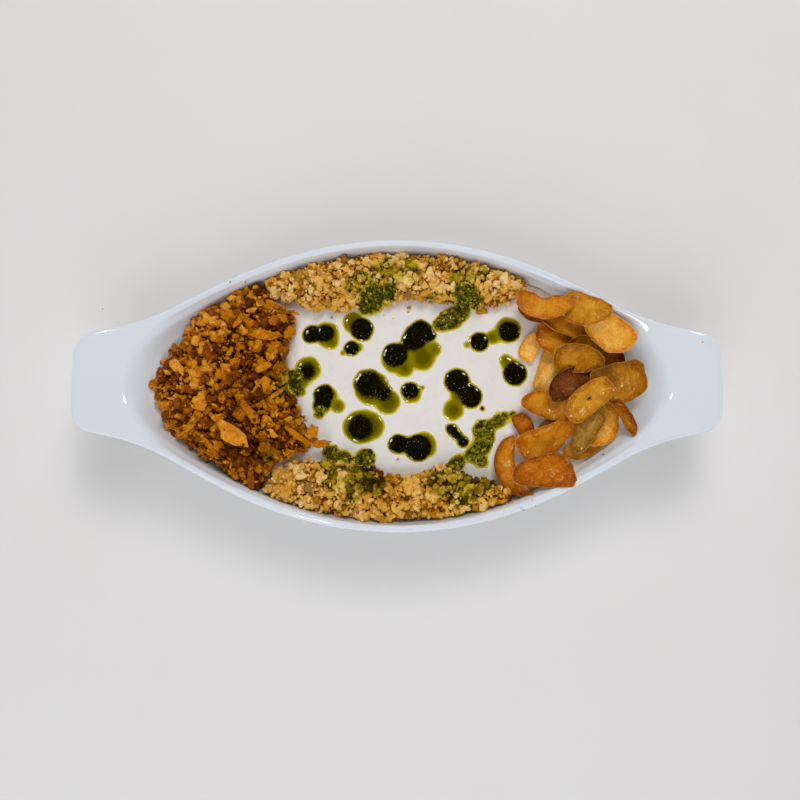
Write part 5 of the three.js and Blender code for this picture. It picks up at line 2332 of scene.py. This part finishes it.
@dataclass(frozen=True)
class Lamp:
    """A square lamp that faces the dish.

    Attributes:
        name: Name of the lamp.
        place: Where it hangs, in metres.
        size: Length of its side, in metres.
        power: Its power in watts.
        colour: Colour of its light.
        glint: Whether it only shows as a bright point on wet food and glaze, or else only lights the dish.
    """

    name: str
    place: tuple[float, float, float]
    size: float
    power: float
    colour: str
    glint: bool = False

    def hang(self) -> None:
        """Adds the lamp to the scene."""
        data = bpy.data.lights.new(self.name, "AREA")
        data.size = self.size
        data.energy = self.power
        data.color = linear(self.colour)[:3]
        lamp = linked(self.name, data)
        lamp.location = self.place
        lamp.visible_glossy = self.glint
        lamp.visible_diffuse = not self.glint
        lamp.rotation_euler = (-Vector(self.place)).to_track_quat("-Z", "Y").to_euler()


@dataclass
class Studio:
    """Camera, soft lights and a plain pale floor, in metres."""

    camera_place: tuple[float, float, float] = (0.00129, -0.051085, 0.453767)
    camera_tilt: float = math.radians(6)
    lens: float = 43.456
    floor_reach: float = 2.0
    paper: tuple[str, str] = ("#e4e2de", "#e8e6e3")
    surround: str = "#f1f3f6"
    horizon_light: float = 1.7
    zenith_light: float = 0.02
    lamps: tuple[Lamp, ...] = (
        Lamp("overhead_softbox", (0.0, 0.05, 1.2), 0.9, 2.2, "#fbfcff"),
        Lamp("front_softbox", (-0.15, -0.8, 0.85), 0.9, 6.9, "#f8f9ff"),
        Lamp("back_softbox", (0.1, 0.62, 0.9), 0.6, 4.1, "#fbfaff"),
        Lamp("key_light", (0.1, 0.62, 0.9), 0.2, 1.4, "#fff8ee"),
        Lamp("right_glint", (0.42, 0.4, 0.9), 0.1, 1.8, "#fffaf2", True),
        Lamp("left_glint", (-0.36, 0.32, 0.9), 0.1, 1.8, "#fffaf2", True),
        Lamp("front_glint", (-0.2, -0.42, 0.85), 0.1, 1.2, "#ffffff", True),
    )

    def camera(self) -> None:
        """Places the camera nearly overhead, leaning slightly from the front."""
        data = bpy.data.cameras.new("camera")
        data.sensor_width = 36
        data.lens = self.lens
        data.clip_start = 0.01
        camera = linked("camera", data)
        camera.location = self.camera_place
        camera.rotation_euler = (self.camera_tilt, 0, 0)
        bpy.context.scene.camera = camera

    def floor(self) -> None:
        """Lays the floor of matt paper."""
        reach = self.floor_reach / MM
        corners = np.array([(-reach, -reach, 0), (reach, -reach, 0), (reach, reach, 0), (-reach, reach, 0)])
        floor = new_object("floor", corners, [(0, 1, 2, 3)])
        look = Look("matt paper")
        paper = look.add(Kind.MIX, look.cloud(60, 2), *self.paper)
        floor.data.materials.append(look.finish(paper, 0.9))

    def world(self) -> None:
        """Sets a pale surround that is dark straight above, so that wet dark food mirrors no haze."""
        world = bpy.data.worlds.new("studio")
        world.use_nodes = True
        tree = world.node_tree
        upward = add(tree, Kind.UPWARD, add(tree, Kind.DIRECTION))
        strength = add(tree, Kind.RANGE, upward, 0.1, 0.5, self.horizon_light, self.zenith_light)
        background = tree.nodes["Background"]
        background.inputs["Color"].default_value = linear(self.surround)
        tree.links.new(strength, background.inputs["Strength"])
        bpy.context.scene.world = world

    def build(self) -> None:
        """Sets up camera, floor, lamps, world and view."""
        self.camera()
        self.floor()
        for lamp in self.lamps:
            lamp.hang()
        self.world()
        bpy.context.scene.view_settings.view_transform = "Standard"


# ---- The whole ----


def report(part: str, pieces: Sequence[Piece]) -> None:
    """Logs how many triangles each piece has.

    Args:
        part: What the pieces belong to.
        pieces: The pieces.
    """
    for piece in pieces:
        count = sum(len(polygon.vertices) - 2 for polygon in piece.data.polygons)
        LOG.info("%s: %s, %d triangles", part, piece.name, count)


def main() -> None:
    """Builds the dish and its food in order."""
    logging.basicConfig(level=logging.INFO, format="%(message)s")
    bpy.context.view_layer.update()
    Studio().build()
    basin = Basin()
    dish = PorcelainDish(basin).build()
    report("dish", [dish])
    sauce = SaucePool(basin)
    pool = sauce.build()
    mash = DipMash(basin, sauce).build()
    report("dip", [mash, pool])
    strewing, shapes = StrewingTree(), CrumbShapes()
    onions = FriedOnionHeap(strewing, shapes).build()
    report("onions", onions)
    nut = CrushedWalnut().material()
    # The walnut cores get shaded colours, as painted shade in the gaps between the crumbs.
    shaded = ("#522a00", "#744600", "#8c5a08", "#a26e18", "#6e6600", "#4c4600", "#343000")
    nut_shaded_core = CrushedWalnut(*shaded).material()
    back = WalnutBank(
        strewing, shapes, "walnuts_back", "walnut_back", 21,
        (
            (-16, 44, 8), (-5, 49, 9), (5, 50, 7), (-3, 56, 5),
            (31, 46, 9), (36, 50, 6), (28, 40, 6), (16, 39, 4),
        ),
        ((-10.7, 39.3, 6.2), (-13.9, 35.2, 4), (-4.1, 41.6, 4), (29.6, 40.2, 5.7), (35.4, 37.4, 3.5)),
    ).build(nut, nut_shaded_core)
    front = WalnutBank(
        strewing, shapes, "walnuts_front", "walnut_front", 41,
        (
            (-28, -40, 8), (-16, -42, 8), (-9, -45, 5), (-20, -48, 6),
            (20, -43, 8), (30, -44, 9), (38, -43, 6), (27, -50, 6),
        ),
        ((-29.2, -29.6, 4.4), (-22.2, -31.8, 3.3), (-14.1, -31.4, 4.8), (27, -33.6, 5), (37.3, -33.6, 4.5)),
        # Areas painted darker, as shade on the front of the bank.
        ((5, -46, 15), (35, -44, 14), (-12, -45, 11)),
    ).build(nut, nut_shaded_core)
    report("walnuts", [*back, *front])
    toppings = tree_of(*back, *front, *onions)
    mint = MintDrops(sauce, toppings, strewing, shapes).build()
    report("mint", mint)
    garlic = GarlicPile().build(tree_of(dish))
    report("garlic", garlic)
    crust = bpy.data.materials["fried onion"]
    on_wall = StrayCrumbs("wall_crumbs", "onions", WALL_CRUMBS).build(tree_of(dish), crust)
    on_sauce = StrayCrumbs("sauce_crumbs", "walnuts", SAUCE_CRUMBS, 0.2).build(tree_of(pool), nut)
    report("strays", [on_wall, on_sauce])
    shapes.clear()


if __name__ == "__main__":
    main()
